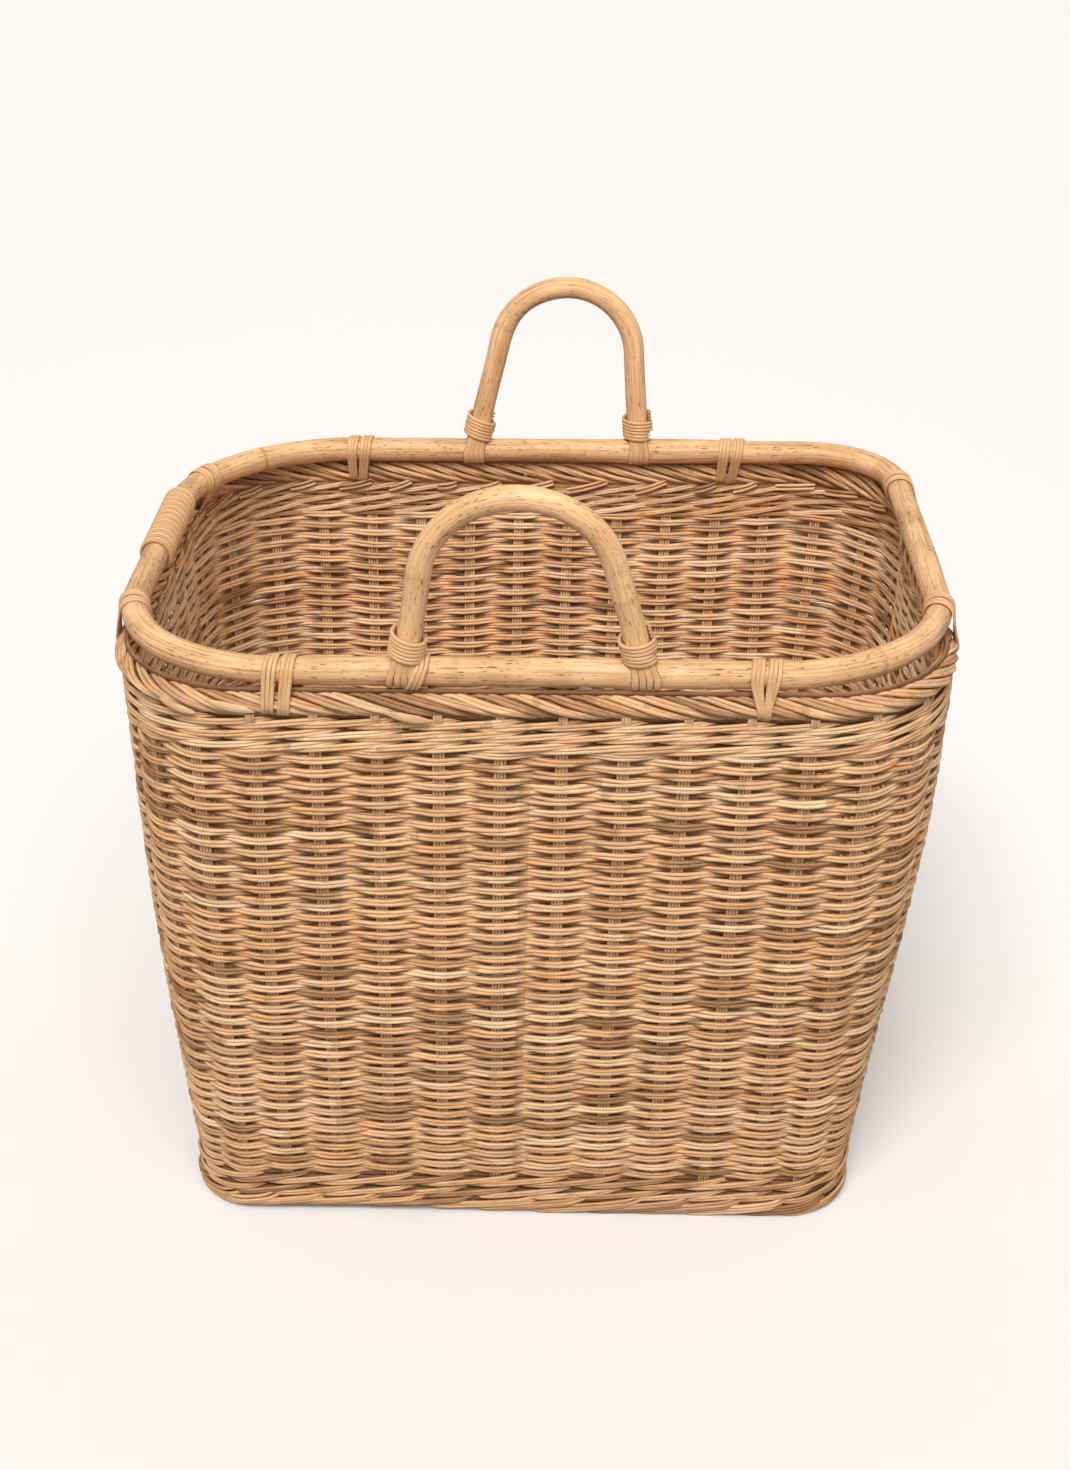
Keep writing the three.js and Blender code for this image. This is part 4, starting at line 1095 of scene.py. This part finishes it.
class BASKET_OT_top(Operator):
    """Weaves the three rows under the border, and the plaited border with its inner row"""

    bl_idname = "basket.top"
    bl_label = "Weave the Top"

    INNER_ENDS = 44
    PEELED_IN_FRONT = ((42.0, 0.2), (39.2, 0.55), (38.3, 0.25))
    PEELED_WIDTH = 0.0056
    PEELED_THICKNESS = 0.0016

    def execute(self, context):
        weave = context.scene.basket_weave
        rng = np.random.default_rng(41)
        strands = Strands()
        wale(strands, WALE_BOTTOM, BORDER_BOTTOM - BAND_GAP, 3, weave.wale / MM, rng)
        lay_woven(context, "top_wale_canes", strands, "top_wale", weave.wale, wander=WALE_WANDER)
        strands = Strands()
        low, high = BORDER_BOTTOM, BORDER_EDGE
        cane = weave.plait / MM
        rope(strands, low, high, cane, rng)
        self.stubs(strands, low, rng)
        painted_shade_core(strands, (low + high) / 2 + 1.5, 2.1, offset=0.4)
        painted_shade_core(strands, low + 3.5, 1.6, offset=-0.5)
        painted_shade_core(strands, low + 0.5, 1.3, offset=0.5)
        painted_shade_core(strands, high + 0.6, 1.0, offset=-0.6)
        self.inner_row(strands, low, cane, rng)
        lay_woven(context, "border_canes", strands, "border_plait", weave.plait, wander=WALE_WANDER)
        lay_woven(
            context, "peeled_ends", self.peeled(low, high, rng), "border_plait", self.PEELED_WIDTH,
            self.PEELED_THICKNESS, sides=8,
        )
        return {"FINISHED"}

    def peeled(self, low, high, rng):
        """Ends that were shaved flat before they were tucked into the border. Each place is a ring
        place and a share of the border's height."""
        strands = Strands()
        share = np.linspace(-0.5, 0.5, 9)
        outside, curve = 7.7, 5
        places = list(self.PEELED_IN_FRONT)
        places += [(s + rng.uniform(-0.8, 0.8), rng.uniform(0.15, 0.6)) for s in range(9, 37, 4)]
        for s, level in places:
            long, fall = rng.uniform(0.6, 0.9), rng.uniform(4, 7)
            z = low + level * (high - low) - fall * share
            points, out = wall(s + share * long, z, outside + 0.3 * rng.normal() - curve * share**2)
            taper = np.clip(1.1 - 3.6 * share**2 + 0.4 * share, 0.15, 1)
            strands.add(points, out, tone=rng.uniform(0.5, 0.9), thick=taper)
        return strands

    def stubs(self, strands, low, rng):
        """The stakes' canes where they show between the wale and the border."""
        rise = np.linspace(-3.5, 3.0, 4)
        outermost, curve = 4.4, 0.06
        for stake in range(STAKES):
            tone = 0.7 + 0.15 * rng.normal()
            depth = outermost - rng.uniform(0, 2)
            for lane in (-0.05, 0.0, 0.05):
                s = np.full_like(rise, stake + 0.5 + lane)
                points, out = wall(s, low + rise, depth - curve * (rise - 1) ** 2)
                strands.add(points, out, tone=strayed(tone, 0.1, rng), thick=0.65)

    def inner_row(self, strands, low, cane, rng):
        """Short ends that lie on the inside of the wale and slope against the border's bundles."""
        share = np.linspace(0, 1, 7)
        inside, curve, down = 3.6, 2.0, 0.8
        for i in range(self.INNER_ENDS):
            middle = i * STAKES / self.INNER_ENDS + 0.12 * rng.normal()
            tone = 0.3 + 0.2 * rng.normal()
            rise, long = rng.normal(5, 2), rng.normal(0.6, 0.12)
            for lane in (-0.5, 0.5):
                z = low - down + rise * (0.5 - share) + lane * cane * 0.92
                depth = -(inside + curve * np.sin(math.pi * share)) + 0.35 * lane
                points, out = wall(middle + (share - 0.5) * long, z, depth)
                # mark of -1: these ends lie inside, so their outward sides get painted shade
                strands.add(points, out, tone=strayed(tone, 0.1, rng), thick=0.72, mark=-1.0)


class BASKET_OT_base(Operator):
    """Weaves the base mat over sticks that lie front to back"""

    bl_idname = "basket.base"
    bl_label = "Weave the Base"

    ROW_PITCH = 3.6
    POINT_PITCH = 6.5
    STICK_SPACING = 34
    STICKS = 13
    STICK_POINTS = 12
    EDGE = 4.6
    SPLICE_RUN = 170
    SWAY_PERIOD = 450

    def execute(self, context):
        weave = context.scene.basket_weave
        rng = np.random.default_rng(53)
        bottom, top = band("base_mat")
        middle = (bottom + top) / 2
        t = middle / BORDER_TOP
        *halves, shift = (a * (1 - t) + b * t for a, b in zip(FOOT_PLAN, RIM_PLAN))
        half_width, half_depth, radius = (v - self.EDGE for v in halves)

        def reach(across, half, other):
            """How far the mat goes to each side at a distance from its middle line."""
            past = np.clip(abs(across) - (other - radius), 0, radius)
            return half - radius + math.sqrt(radius**2 - past**2)

        strands = Strands()
        cane = weave.mat / MM
        swing = (top - bottom - cane) / 2
        count = int(2 * half_depth / self.ROW_PITCH) + 1
        for row, y in enumerate(np.linspace(cane - half_depth, half_depth - cane, count)):
            end = reach(y, half_width, half_depth)
            x = np.linspace(-end, end, int(2 * end / self.POINT_PITCH))
            z = middle + swing * np.cos(math.pi * x / self.STICK_SPACING + math.pi * row)
            tone = splices(x - x[0], rng, self.SPLICE_RUN, 0.16)
            for side in (-1, 1):
                sway = 0.2 * drift(x, self.SWAY_PERIOD, rng, 2, 8)
                points = np.stack([x + shift, y + side * cane * 0.5 + sway, z], 1)
                strands.add(points, (0, 0, 1), tone=strayed(tone, 0.08, rng))
        lay_woven(context, "base_mat_canes", strands, "base_mat", weave.mat, sides=5)
        sticks = Strands()
        for stick in range(self.STICKS):
            x = (stick - (self.STICKS - 1) / 2) * self.STICK_SPACING
            for lane in STAKE_LANES:
                place = x + lane * weave.stake / MM * 0.95
                end = reach(place, half_depth, half_width)
                y = np.linspace(-end, end, self.STICK_POINTS)
                points = np.stack([np.full_like(y, place + shift), y, np.full_like(y, middle)], 1)
                sticks.add(points, (0, 0, 1), tone=strayed(0.45, 0.15, rng))
        lay("base_sticks", sticks, staked(context), ["base_mat"], "stake_cane", weave.stake * 0.9)
        return {"FINISHED"}


# Poles


def walked(points):
    """Lengths along a line at each of its points."""
    return np.concatenate([[0], np.cumsum(np.linalg.norm(np.diff(points, axis=0), axis=1))])


def at_lengths(along, lengths, values):
    """What a line has, such as its points, at lengths along it."""
    return np.stack([np.interp(along, lengths, column) for column in values.T], -1)


def hoop_line():
    """The hoop's middle line with its outward normals, dense, counter-clockwise from the front."""
    half_width, half_depth = HOOP_HALF
    corners = [(1, -1, -90), (1, 1, 0), (-1, 1, 90), (-1, -1, 180)]
    points_per_corner = 61
    points, normals = [], []
    for (side_x, side_y, start), radius in zip(corners, HOOP_CORNERS):
        angles = np.radians(start + np.linspace(0, 90, points_per_corner))
        normal = np.stack([np.cos(angles), np.sin(angles)], 1)
        centre = np.array([side_x * (half_width - radius), side_y * (half_depth - radius)])
        points.append(centre + radius * normal)
        normals.append(normal)
    points, normals = np.concatenate(points), np.concatenate(normals)
    points, normals = np.vstack([points, points[:1]]), np.vstack([normals, normals[:1]])
    return points, normals, walked(points)


HOOP_POINTS, HOOP_NORMALS, HOOP_LENGTHS = hoop_line()
HOOP_LENGTH = HOOP_LENGTHS[-1]


def on_hoop(along):
    """Points of the hoop's middle line and outward normals at lengths along it."""
    along = np.asarray(along, float) % HOOP_LENGTH
    flat = at_lengths(along, HOOP_LENGTHS, HOOP_POINTS)
    normal = at_lengths(along, HOOP_LENGTHS, HOOP_NORMALS)
    normal /= np.linalg.norm(normal, axis=-1, keepdims=True)
    height = np.full((*flat.shape[:-1], 1), HOOP_HEIGHT)
    return np.concatenate([flat, height], -1), np.concatenate([normal, np.zeros_like(height)], -1)


def hoop_length_at(x, y):
    """The length along the hoop at which it comes nearest to a place."""
    places = 4000
    along = np.linspace(0, HOOP_LENGTH, places)
    points, _ = on_hoop(along)
    return along[np.argmin(np.hypot(points[:, 0] - x, points[:, 1] - y))]


def node_marks(along, places):
    """Where the pole has its nodes: a narrow ring, and a swelling round it."""
    ring, swelling = 1.3, 9
    away = np.min(np.abs(along[:, None] - np.array(places)), axis=1)
    return np.exp(-((away / ring) ** 2)), np.exp(-((away / swelling) ** 2))


def handle_line(side):
    """A handle's middle line, from its left foot on the hoop over the top to its right foot, and
    the direction out of the basket."""
    sign, x, radius, height, left, right = HANDLES[side]
    arch_points, per_leg = 60, 14
    centre = height - radius
    angles = np.radians(np.linspace(180 - left, right, arch_points))
    arc = np.stack([x + radius * np.cos(angles), centre + radius * np.sin(angles)], 1)

    def leg(top, direction, splay):
        heights = np.linspace(0, top[1], per_leg)[:-1]
        across = direction * (top[1] - heights) * math.tan(math.radians(splay))
        return np.stack([top[0] + across, heights], 1)

    line = np.concatenate([leg(arc[0], -1, left), arc, leg(arc[-1], 1, right)[::-1]])
    lean = math.radians(HANDLE_LEAN) * sign
    rise = np.array((0, math.sin(lean), math.cos(lean)))
    base = np.array((0, sign * HOOP_HALF[1], HOOP_HEIGHT))
    points = base + line[:, :1] * (1, 0, 0) + line[:, 1:] * rise
    return points, np.cross((1, 0, 0), rise) * -sign


class BASKET_OT_poles(Operator):
    """Bends the rim hoop and the two handles"""

    bl_idname = "basket.poles"
    bl_label = "Bend the Poles"

    SIDES = 28
    HOOP_NODES = (120, 365, 610, 905, 1120, 1390)
    HOOP_STEPS = 620
    SCARF_GAP = 0.3
    HOOP_PALENESS = 0.3
    HANDLE_NODES = {"front": (64, 236), "back": (92, 300)}
    HANDLE_STEP = 2.0
    # The handles' paler tones are painted light, standing in for the stronger light that falls on their
    # fronts
    HANDLE_PAINTED_LIGHT = {"front": 0.7, "back": 0.5}
    HANDLE_MARK = 0.4
    SWELLING = 0.03

    def execute(self, context):
        poles = context.scene.basket_poles
        rng = np.random.default_rng(61)
        finish = pole_material(context.scene.basket_colours)
        start = hoop_length_at(-HOOP_HALF[0], JOINT_Y)
        strands = Strands()
        along = np.linspace(0, HOOP_LENGTH - self.SCARF_GAP, self.HOOP_STEPS)
        points, out = on_hoop(start + along)
        mark, swell = node_marks(along, self.HOOP_NODES)
        thick = uneven(along, HOOP_LENGTH, rng, 0.02, 3, 14) + self.SWELLING * swell
        strands.add(points, out, thick=thick, tone=self.HOOP_PALENESS, mark=mark)
        lay(
            "hoop_pole", strands, finish, ["rim_hoop"], "rattan_pole", poles.hoop, sides=self.SIDES,
            wander=poles.wobble * 0.8, scale=9.0,
        )
        for side in HANDLES:
            strands = Strands()
            points, out = handle_line(side)
            lengths = walked(points)
            even = np.arange(0, lengths[-1], self.HANDLE_STEP)
            points = at_lengths(even, lengths, points)
            mark, swell = node_marks(even, self.HANDLE_NODES[side])
            thick = uneven(even, lengths[-1], rng, 0.02, 1, 6) + self.SWELLING * swell
            paleness, mark = self.HANDLE_PAINTED_LIGHT[side], self.HANDLE_MARK * mark
            strands.add(points, out, thick=thick, tone=paleness, mark=mark)
            lay(
                f"{side}_handle_pole", strands, finish, [f"handle_{side}"], "rattan_pole",
                poles.handle, sides=self.SIDES, wander=poles.wobble, scale=14.0,
            )
        return {"FINISHED"}


# Bindings


def taut(circles, lift, count):
    """Points and normals of a loop pulled taut round circles, evenly spaced from its bottom."""
    directions = 181
    angles = np.linspace(-math.pi / 2, 1.5 * math.pi, directions)
    away = np.stack([np.cos(angles), np.sin(angles)], 1)
    centres = np.array([(u, v) for u, v, _ in circles])
    radii = np.array([r for *_, r in circles]) + lift
    pick = np.argmax(away @ centres.T + radii, axis=1)
    points = centres[pick] + radii[pick, None] * away
    lengths = walked(points)
    even = at_lengths(np.linspace(0, lengths[-1], count, endpoint=False), lengths, points)
    ahead = np.roll(even, -1, 0) - np.roll(even, 1, 0)
    normal = np.stack([ahead[:, 1], -ahead[:, 0]], 1)
    return even, normal / np.linalg.norm(normal, axis=1, keepdims=True)


def wind(strands, frame_at, circles_at, turns, pitch, lanes, lift, tones, count, phase=0.0, pinch=0.0):
    """Winds canes side by side round what a frame carries. Each lane is an offset along it, and
    pinch draws the turns together towards the bottom. The ends are tucked in."""
    tuck_points, pinch_depth = 5, 18
    steps = int(turns * count) + 1
    from_end = np.minimum(np.arange(steps), steps - 1 - np.arange(steps))
    tucked = 1 - step_up(from_end, 0, tuck_points)
    for lane, tone in zip(lanes, tones):
        points, outs = [], []
        for i in range(steps):
            along = (i / count - turns / 2) * pitch + lane
            k = (i + int(phase * count)) % count
            loop, normal = taut(circles_at(along), lift, count)
            depth = np.clip(-loop[k, 1] / pinch_depth, 0, 1)
            origin, u, v = frame_at(along * (1 - pinch * depth))
            outs.append(u * normal[k, 0] + v * normal[k, 1])
            points.append(origin + u * loop[k, 0] + v * loop[k, 1] - outs[-1] * tucked[i])
        strands.add(np.array(points), np.array(outs), tone=tone, thick=1 - 0.5 * tucked)


def hoop_frame(start):
    """Places on the hoop, with the directions out of the basket and up."""

    def frame_at(along):
        point, normal = on_hoop(start + along)
        return point, normal, np.array((0, 0, 1.0))

    return frame_at


def leg_frame(foot, start, up, wide, out):
    """Places up a handle's leg, with the directions across it."""

    def frame_at(along):
        return foot + up * (start + along), wide, out

    return frame_at


def border_under(point, normal, z):
    """How far outside a place on the hoop the border's middle lies, along the hoop's normal."""
    places_per_stake, reach = 40, 40
    ring, _ = wall(np.linspace(0, STAKES, STAKES * places_per_stake + 1), z)
    away = ring[:, :2] - point[:2]
    side = np.abs(away[:, 0] * normal[1] - away[:, 1] * normal[0])
    ahead = away @ normal[:2]
    near = np.where(np.abs(ahead) < reach, side, np.inf)
    return ahead[np.argmin(near)]


class BASKET_OT_bindings(Operator):
    """Binds the hoop to the border, wraps its joint, and binds the handles' feet"""

    bl_idname = "basket.bindings"
    bl_label = "Bind the Poles"

    JOINT_TURNS = 12
    JOINT_PITCH = 7.8
    JOINT_WIDTH = 0.0066
    JOINT_LIFT = 0.1
    RIDGE_LANES = (-1.95, 1.95)
    RIDGE_WIDTH = 0.0029
    RIDGE_THICKNESS = 0.0019
    RIDGE_LIFT = 0.3
    TIE_TURNS = 2
    TIE_LANES = (-2.5, 0, 2.5)
    TIE_PITCH = 9.6
    TIE_WIDTH = 0.0027
    TIE_LIFT = 0.2
    TIE_CORES = ((2.2, 6.4), (1.2, 6.4))
    PINCH = {"tie_front_left": 0.12, "tie_front_right": 0.62}
    STIRRUP_WIDTH = 0.0042
    STIRRUP_LIFT = 0.15
    STIRRUP_TURN = 0.8
    STIRRUPS = {
        "front_left": ((-6, -2, 1.6, 5.2), 0.18),
        "front_right": ((-6.3, -2.1, 2.1, 6.3), 0.0),
        "back_left": ((-5.4, -1.8, 1.8, 5.4), 0.0),
        "back_right": ((-5.4, -1.8, 1.8, 5.4), 0.0),
    }
    STIRRUP_RISES = (25, 22, 19, 16, 13)
    COLLAR_TURNS = 2
    COLLAR_LANES = (-2.35, 0, 2.35)
    COLLAR_RISE = 10.8
    COLLAR_PITCH = 7.1
    COLLAR_LIFT = 1.15
    COLLAR_WIDTH = 0.00275
    COLLAR_THICKNESS = 0.0024
    STRAP_LIFT = 0.8
    STRAP_LANES = (0, 2.7, 5.4)
    STRAP_DEGREES = (-150, -60, 40, 125)
    STRAP_ACROSS = (-2, 2, 8.5, 9)

    def execute(self, context):
        poles = context.scene.basket_poles
        rng = np.random.default_rng(71)
        finish = binding_material(context.scene.basket_colours)
        self.joint(poles, finish)
        self.ties(poles, finish, rng)
        self.feet(poles, finish, rng)
        return {"FINISHED"}

    def bind(self, name, strands, finish, nodes, width, thickness, sides=8):
        lay(name, strands, finish, nodes, "binding_cane", width, thickness, sides)

    def joint(self, poles, finish):
        """The winding round the scarf, and the two ridges that its cane has at its edges."""
        cane, radius = poles.cane / MM, poles.hoop / MM / 2
        frame_at = hoop_frame(hoop_length_at(-HOOP_HALF[0], JOINT_Y))
        wrap = self.JOINT_WIDTH, poles.cane, 10
        ridge = self.RIDGE_WIDTH, self.RIDGE_THICKNESS, 8
        # Painted light and shade: the wrap's tone 0 darkens it as shade between the ridges, and the
        # first ridge's tone 1 makes it a painted highlight along the turns
        for name, lanes, lift, tones, measures in (
            ("joint_wrap", [0.0], cane / 2 + self.JOINT_LIFT, [0.0], wrap),
            ("joint_edges", self.RIDGE_LANES, cane + self.RIDGE_LIFT, [1.0, 0.0], ridge),
        ):
            strands = Strands()
            wind(
                strands, frame_at, lambda along: [(0, 0, radius)], self.JOINT_TURNS,
                self.JOINT_PITCH, lanes, lift, tones, count=30,
            )
            self.bind(name, strands, finish, ["joint_binding"], *measures)

    def ties(self, poles, finish, rng):
        """The ties of three canes, pulled taut round the hoop and the border."""
        low, high = band("border_plait")
        middle = (low + high) / 2 - HOOP_HEIGHT
        strands = Strands()
        for name, (across, back) in TIES.items():
            place = hoop_length_at(across * HOOP_HALF[0], back * HOOP_HALF[1])

            def circles_at(along, place=place):
                offset = border_under(*on_hoop(place + along), middle + HOOP_HEIGHT)
                below = [(offset, middle + rise, radius) for rise, radius in self.TIE_CORES]
                return [(0, 0, poles.hoop / MM / 2), *below]

            tones = rng.uniform(0.4, 1, 3)
            wind(
                strands, hoop_frame(place), circles_at, self.TIE_TURNS, self.TIE_PITCH,
                self.TIE_LANES, poles.cane / MM / 2 + self.TIE_LIFT, tones, count=40,
                pinch=self.PINCH.get(name, rng.uniform(0.1, 0.45)),
            )
        self.bind("hoop_ties", strands, finish, list(TIES), self.TIE_WIDTH, poles.cane)

    def feet(self, poles, finish, rng):
        """Stirrups of four canes under the hoop, and the collars that hold them to the legs."""
        cane, hoop, leg = poles.cane / MM, poles.hoop / MM / 2, poles.handle / MM / 2
        lift = cane / 2 + self.STIRRUP_LIFT
        stirrups, collars, names = Strands(), Strands(), []
        for side in HANDLES:
            points, _ = handle_line(side)
            for end, foot, above in (("left", *points[[0, 8]]), ("right", *points[[-1, -9]])):
                names.append(f"{side}_{end}")
                up = (above - foot) / np.linalg.norm(above - foot)
                out = np.cross((1, 0, 0), up)
                out /= np.linalg.norm(out)
                axes = up, np.cross(up, out), out
                self.stirrup(stirrups, names[-1], foot, axes, leg + lift, hoop + lift, rng)
                tones = rng.uniform(0.4, 1, 3)
                wind(
                    collars, leg_frame(foot, hoop + self.COLLAR_RISE, *axes),
                    lambda along: [(0, 0, leg + cane)], self.COLLAR_TURNS, self.COLLAR_PITCH,
                    self.COLLAR_LANES, self.COLLAR_LIFT, tones, count=36,
                    phase=rng.uniform(0.15, 0.4),
                )
                if names[-1] == "front_left":
                    self.cross_strap(collars, foot, hoop + lift + self.STRAP_LIFT, rng)
        nodes = [f"stirrup_{n}" for n in names]
        self.bind("foot_stirrups", stirrups, finish, nodes, self.STIRRUP_WIDTH, poles.cane)
        nodes = [f"collar_{n}" for n in names]
        self.bind(
            "foot_collars", collars, finish, nodes, self.COLLAR_WIDTH, self.COLLAR_THICKNESS
        )

    def stirrup(self, strands, name, foot, axes, on_leg, round_hoop, rng):
        """Canes that go down one face of a leg, under the hoop and up the other face."""
        up, wide, out = axes
        lanes, fan = self.STIRRUPS[name]
        for lane in lanes:
            turn = lane / on_leg * self.STIRRUP_TURN
            line = []
            for face in (1, -1):
                away = out * face * math.cos(turn) + wide * math.sin(turn)
                side = [(foot + away * on_leg + up * rise, away) for rise in self.STIRRUP_RISES]
                line.extend(side[::face])
                if face == 1:
                    line.extend(self.under_hoop(foot, lane, fan, round_hoop))
            points, outs = zip(*line)
            strands.add(np.array(points), np.array(outs), tone=rng.uniform(0.3, 1))

    def under_hoop(self, foot, lane, fan, reach):
        """A stirrup cane's way round the hoop. The fan spreads the canes from a held place."""
        held, line = 5, []
        for degrees in np.linspace(5, -185, 20):
            a = math.radians(degrees)
            away = np.array((0, -math.cos(a), math.sin(a)))
            low = (1 - math.sin(a)) / 2
            across = np.array((lane + fan * low * (lane - held), 0, 0))
            line.append((foot + away * reach + across, away))
        return line

    def cross_strap(self, strands, foot, reach, rng):
        """Canes that cross the hoop to the right of the front handle's left foot."""
        for lane in self.STRAP_LANES:
            angles = np.radians(np.linspace(self.STRAP_DEGREES[-1], self.STRAP_DEGREES[0], 34))
            away = np.stack([np.zeros_like(angles), -np.cos(angles), np.sin(angles)], 1)
            points = foot + away * reach
            points[:, 0] += np.interp(angles, np.radians(self.STRAP_DEGREES), self.STRAP_ACROSS) + lane
            strands.add(points, away, tone=rng.uniform(0.5, 1))


class BASKET_OT_nails(Operator):
    """Gives the nails and the joint's pins their dull steel"""

    bl_idname = "basket.nails"
    bl_label = "Finish the Nails"

    def execute(self, context):
        steel = nail_material(context.scene.basket_colours)
        for name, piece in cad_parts.items():
            if name.startswith(("nail_", "joint_pin_")):
                piece.data.materials.clear()
                piece.data.materials.append(steel)
        return {"FINISHED"}


class BASKET_OT_stage(Operator):
    """Lays the floor, hangs the lights and sets the camera"""

    bl_idname = "basket.stage"
    bl_label = "Set the Stage"

    CAMERA_PLACE = (0.026066, -1.247615, 0.950056)
    CAMERA_RIGHT = (0.99973, 0.02318, 0)
    CAMERA_UP = (-0.010962, 0.472788, 0.881108)
    CAMERA_AHEAD = (-0.020424, 0.880871, -0.472916)
    SKY_COLOUR = (1.0, 0.985, 0.97, 1)
    LAMP_COLOUR = (1.0, 0.985, 0.965)
    SUN_FROM = (-0.18, -0.7, 1.0)
    RIM_LAMP_PLACE = (0.25, -1.0, 1.45)
    RIM_LAMP_AIM = (0.0, 0.05, 0.46)
    RIM_LAMP_ANGLE = 54
    RIM_LAMP_SIZE = 0.35
    SENSOR_WIDTH = 36
    FARTHEST_SEEN = 200
    FLOOR_HALF = 40
    CORNERS = ((-1, -1), (1, -1), (1, 1), (-1, 1))

    def execute(self, context):
        scene = context.scene
        look, stage = scene.basket_colours, scene.basket_stage
        mesh = bpy.data.meshes.new("floor")
        corners = [(x * self.FLOOR_HALF, y * self.FLOOR_HALF, 0) for x, y in self.CORNERS]
        mesh.from_pydata(corners, [], [(0, 1, 2, 3)])
        mesh.materials.append(floor_material(look, stage))
        placed("floor", mesh)

        scene.world = bpy.data.worlds.new("Studio")
        scene.world.use_nodes = True
        sky = scene.world.node_tree.nodes["Background"]
        sky.inputs["Color"].default_value = self.SKY_COLOUR
        sky.inputs["Strength"].default_value = stage.ambient
        self.lamp("Soft Sun", "SUN", stage.sun, self.SUN_FROM, angle=stage.softness)
        back = Vector(self.RIM_LAMP_PLACE) - Vector(self.RIM_LAMP_AIM)
        rim = self.lamp(
            "Rim Lamp", "SPOT", stage.spot, back, spot_size=math.radians(self.RIM_LAMP_ANGLE),
            spot_blend=1.0, shadow_soft_size=self.RIM_LAMP_SIZE,
        )
        rim.location = self.RIM_LAMP_PLACE

        lens = bpy.data.cameras.new("Camera")
        lens.lens = stage.lens
        lens.sensor_width = self.SENSOR_WIDTH
        lens.clip_end = self.FARTHEST_SEEN
        camera = placed("Camera", lens)
        axes = Matrix((self.CAMERA_RIGHT, self.CAMERA_UP, -Vector(self.CAMERA_AHEAD))).transposed()
        camera.matrix_world = Matrix.Translation(self.CAMERA_PLACE) @ axes.to_4x4()
        scene.camera = camera
        scene.view_settings.view_transform = "Standard"
        return {"FINISHED"}

    def lamp(self, name, kind, energy, back, **settings):
        """Hangs a lamp. The direction back points from what it lights to the lamp."""
        light = bpy.data.lights.new(name, kind)
        for key, value in {"energy": energy, "color": self.LAMP_COLOUR, **settings}.items():
            setattr(light, key, value)
        made = placed(name, light)
        made.rotation_euler = Vector(back).to_track_quat("Z", "Y").to_euler()
        return made


class BASKET_PT_panel(Panel):
    bl_label = "Woven Basket"
    bl_idname = "BASKET_PT_panel"
    bl_space_type = "VIEW_3D"
    bl_region_type = "UI"
    bl_category = "Basket"

    def draw(self, context):
        for group in GROUPS:
            box = self.layout.box()
            values = getattr(context.scene, group)
            for name in values.bl_rna.properties.keys():
                if name not in ("rna_type", "name"):
                    box.prop(values, name)
        for made in OPERATORS:
            self.layout.operator(made.bl_idname)


GROUPS = {
    "basket_weave": BasketWeave,
    "basket_poles": BasketPoles,
    "basket_colours": BasketColours,
    "basket_stage": BasketStage,
}
OPERATORS = (
    BASKET_OT_wall,
    BASKET_OT_stakes,
    BASKET_OT_foot,
    BASKET_OT_base,
    BASKET_OT_top,
    BASKET_OT_poles,
    BASKET_OT_bindings,
    BASKET_OT_nails,
    BASKET_OT_stage,
)


def register():
    for made in (*GROUPS.values(), *OPERATORS, BASKET_PT_panel):
        bpy.utils.register_class(made)
    for name, made in GROUPS.items():
        setattr(bpy.types.Scene, name, PointerProperty(type=made))


def unregister():
    for name in GROUPS:
        delattr(bpy.types.Scene, name)
    for made in (BASKET_PT_panel, *reversed(OPERATORS), *reversed(GROUPS.values())):
        bpy.utils.unregister_class(made)


def main():
    register()
    for made in OPERATORS:
        category, name = made.bl_idname.split(".")
        getattr(getattr(bpy.ops, category), name)()


if __name__ == "__main__":
    main()
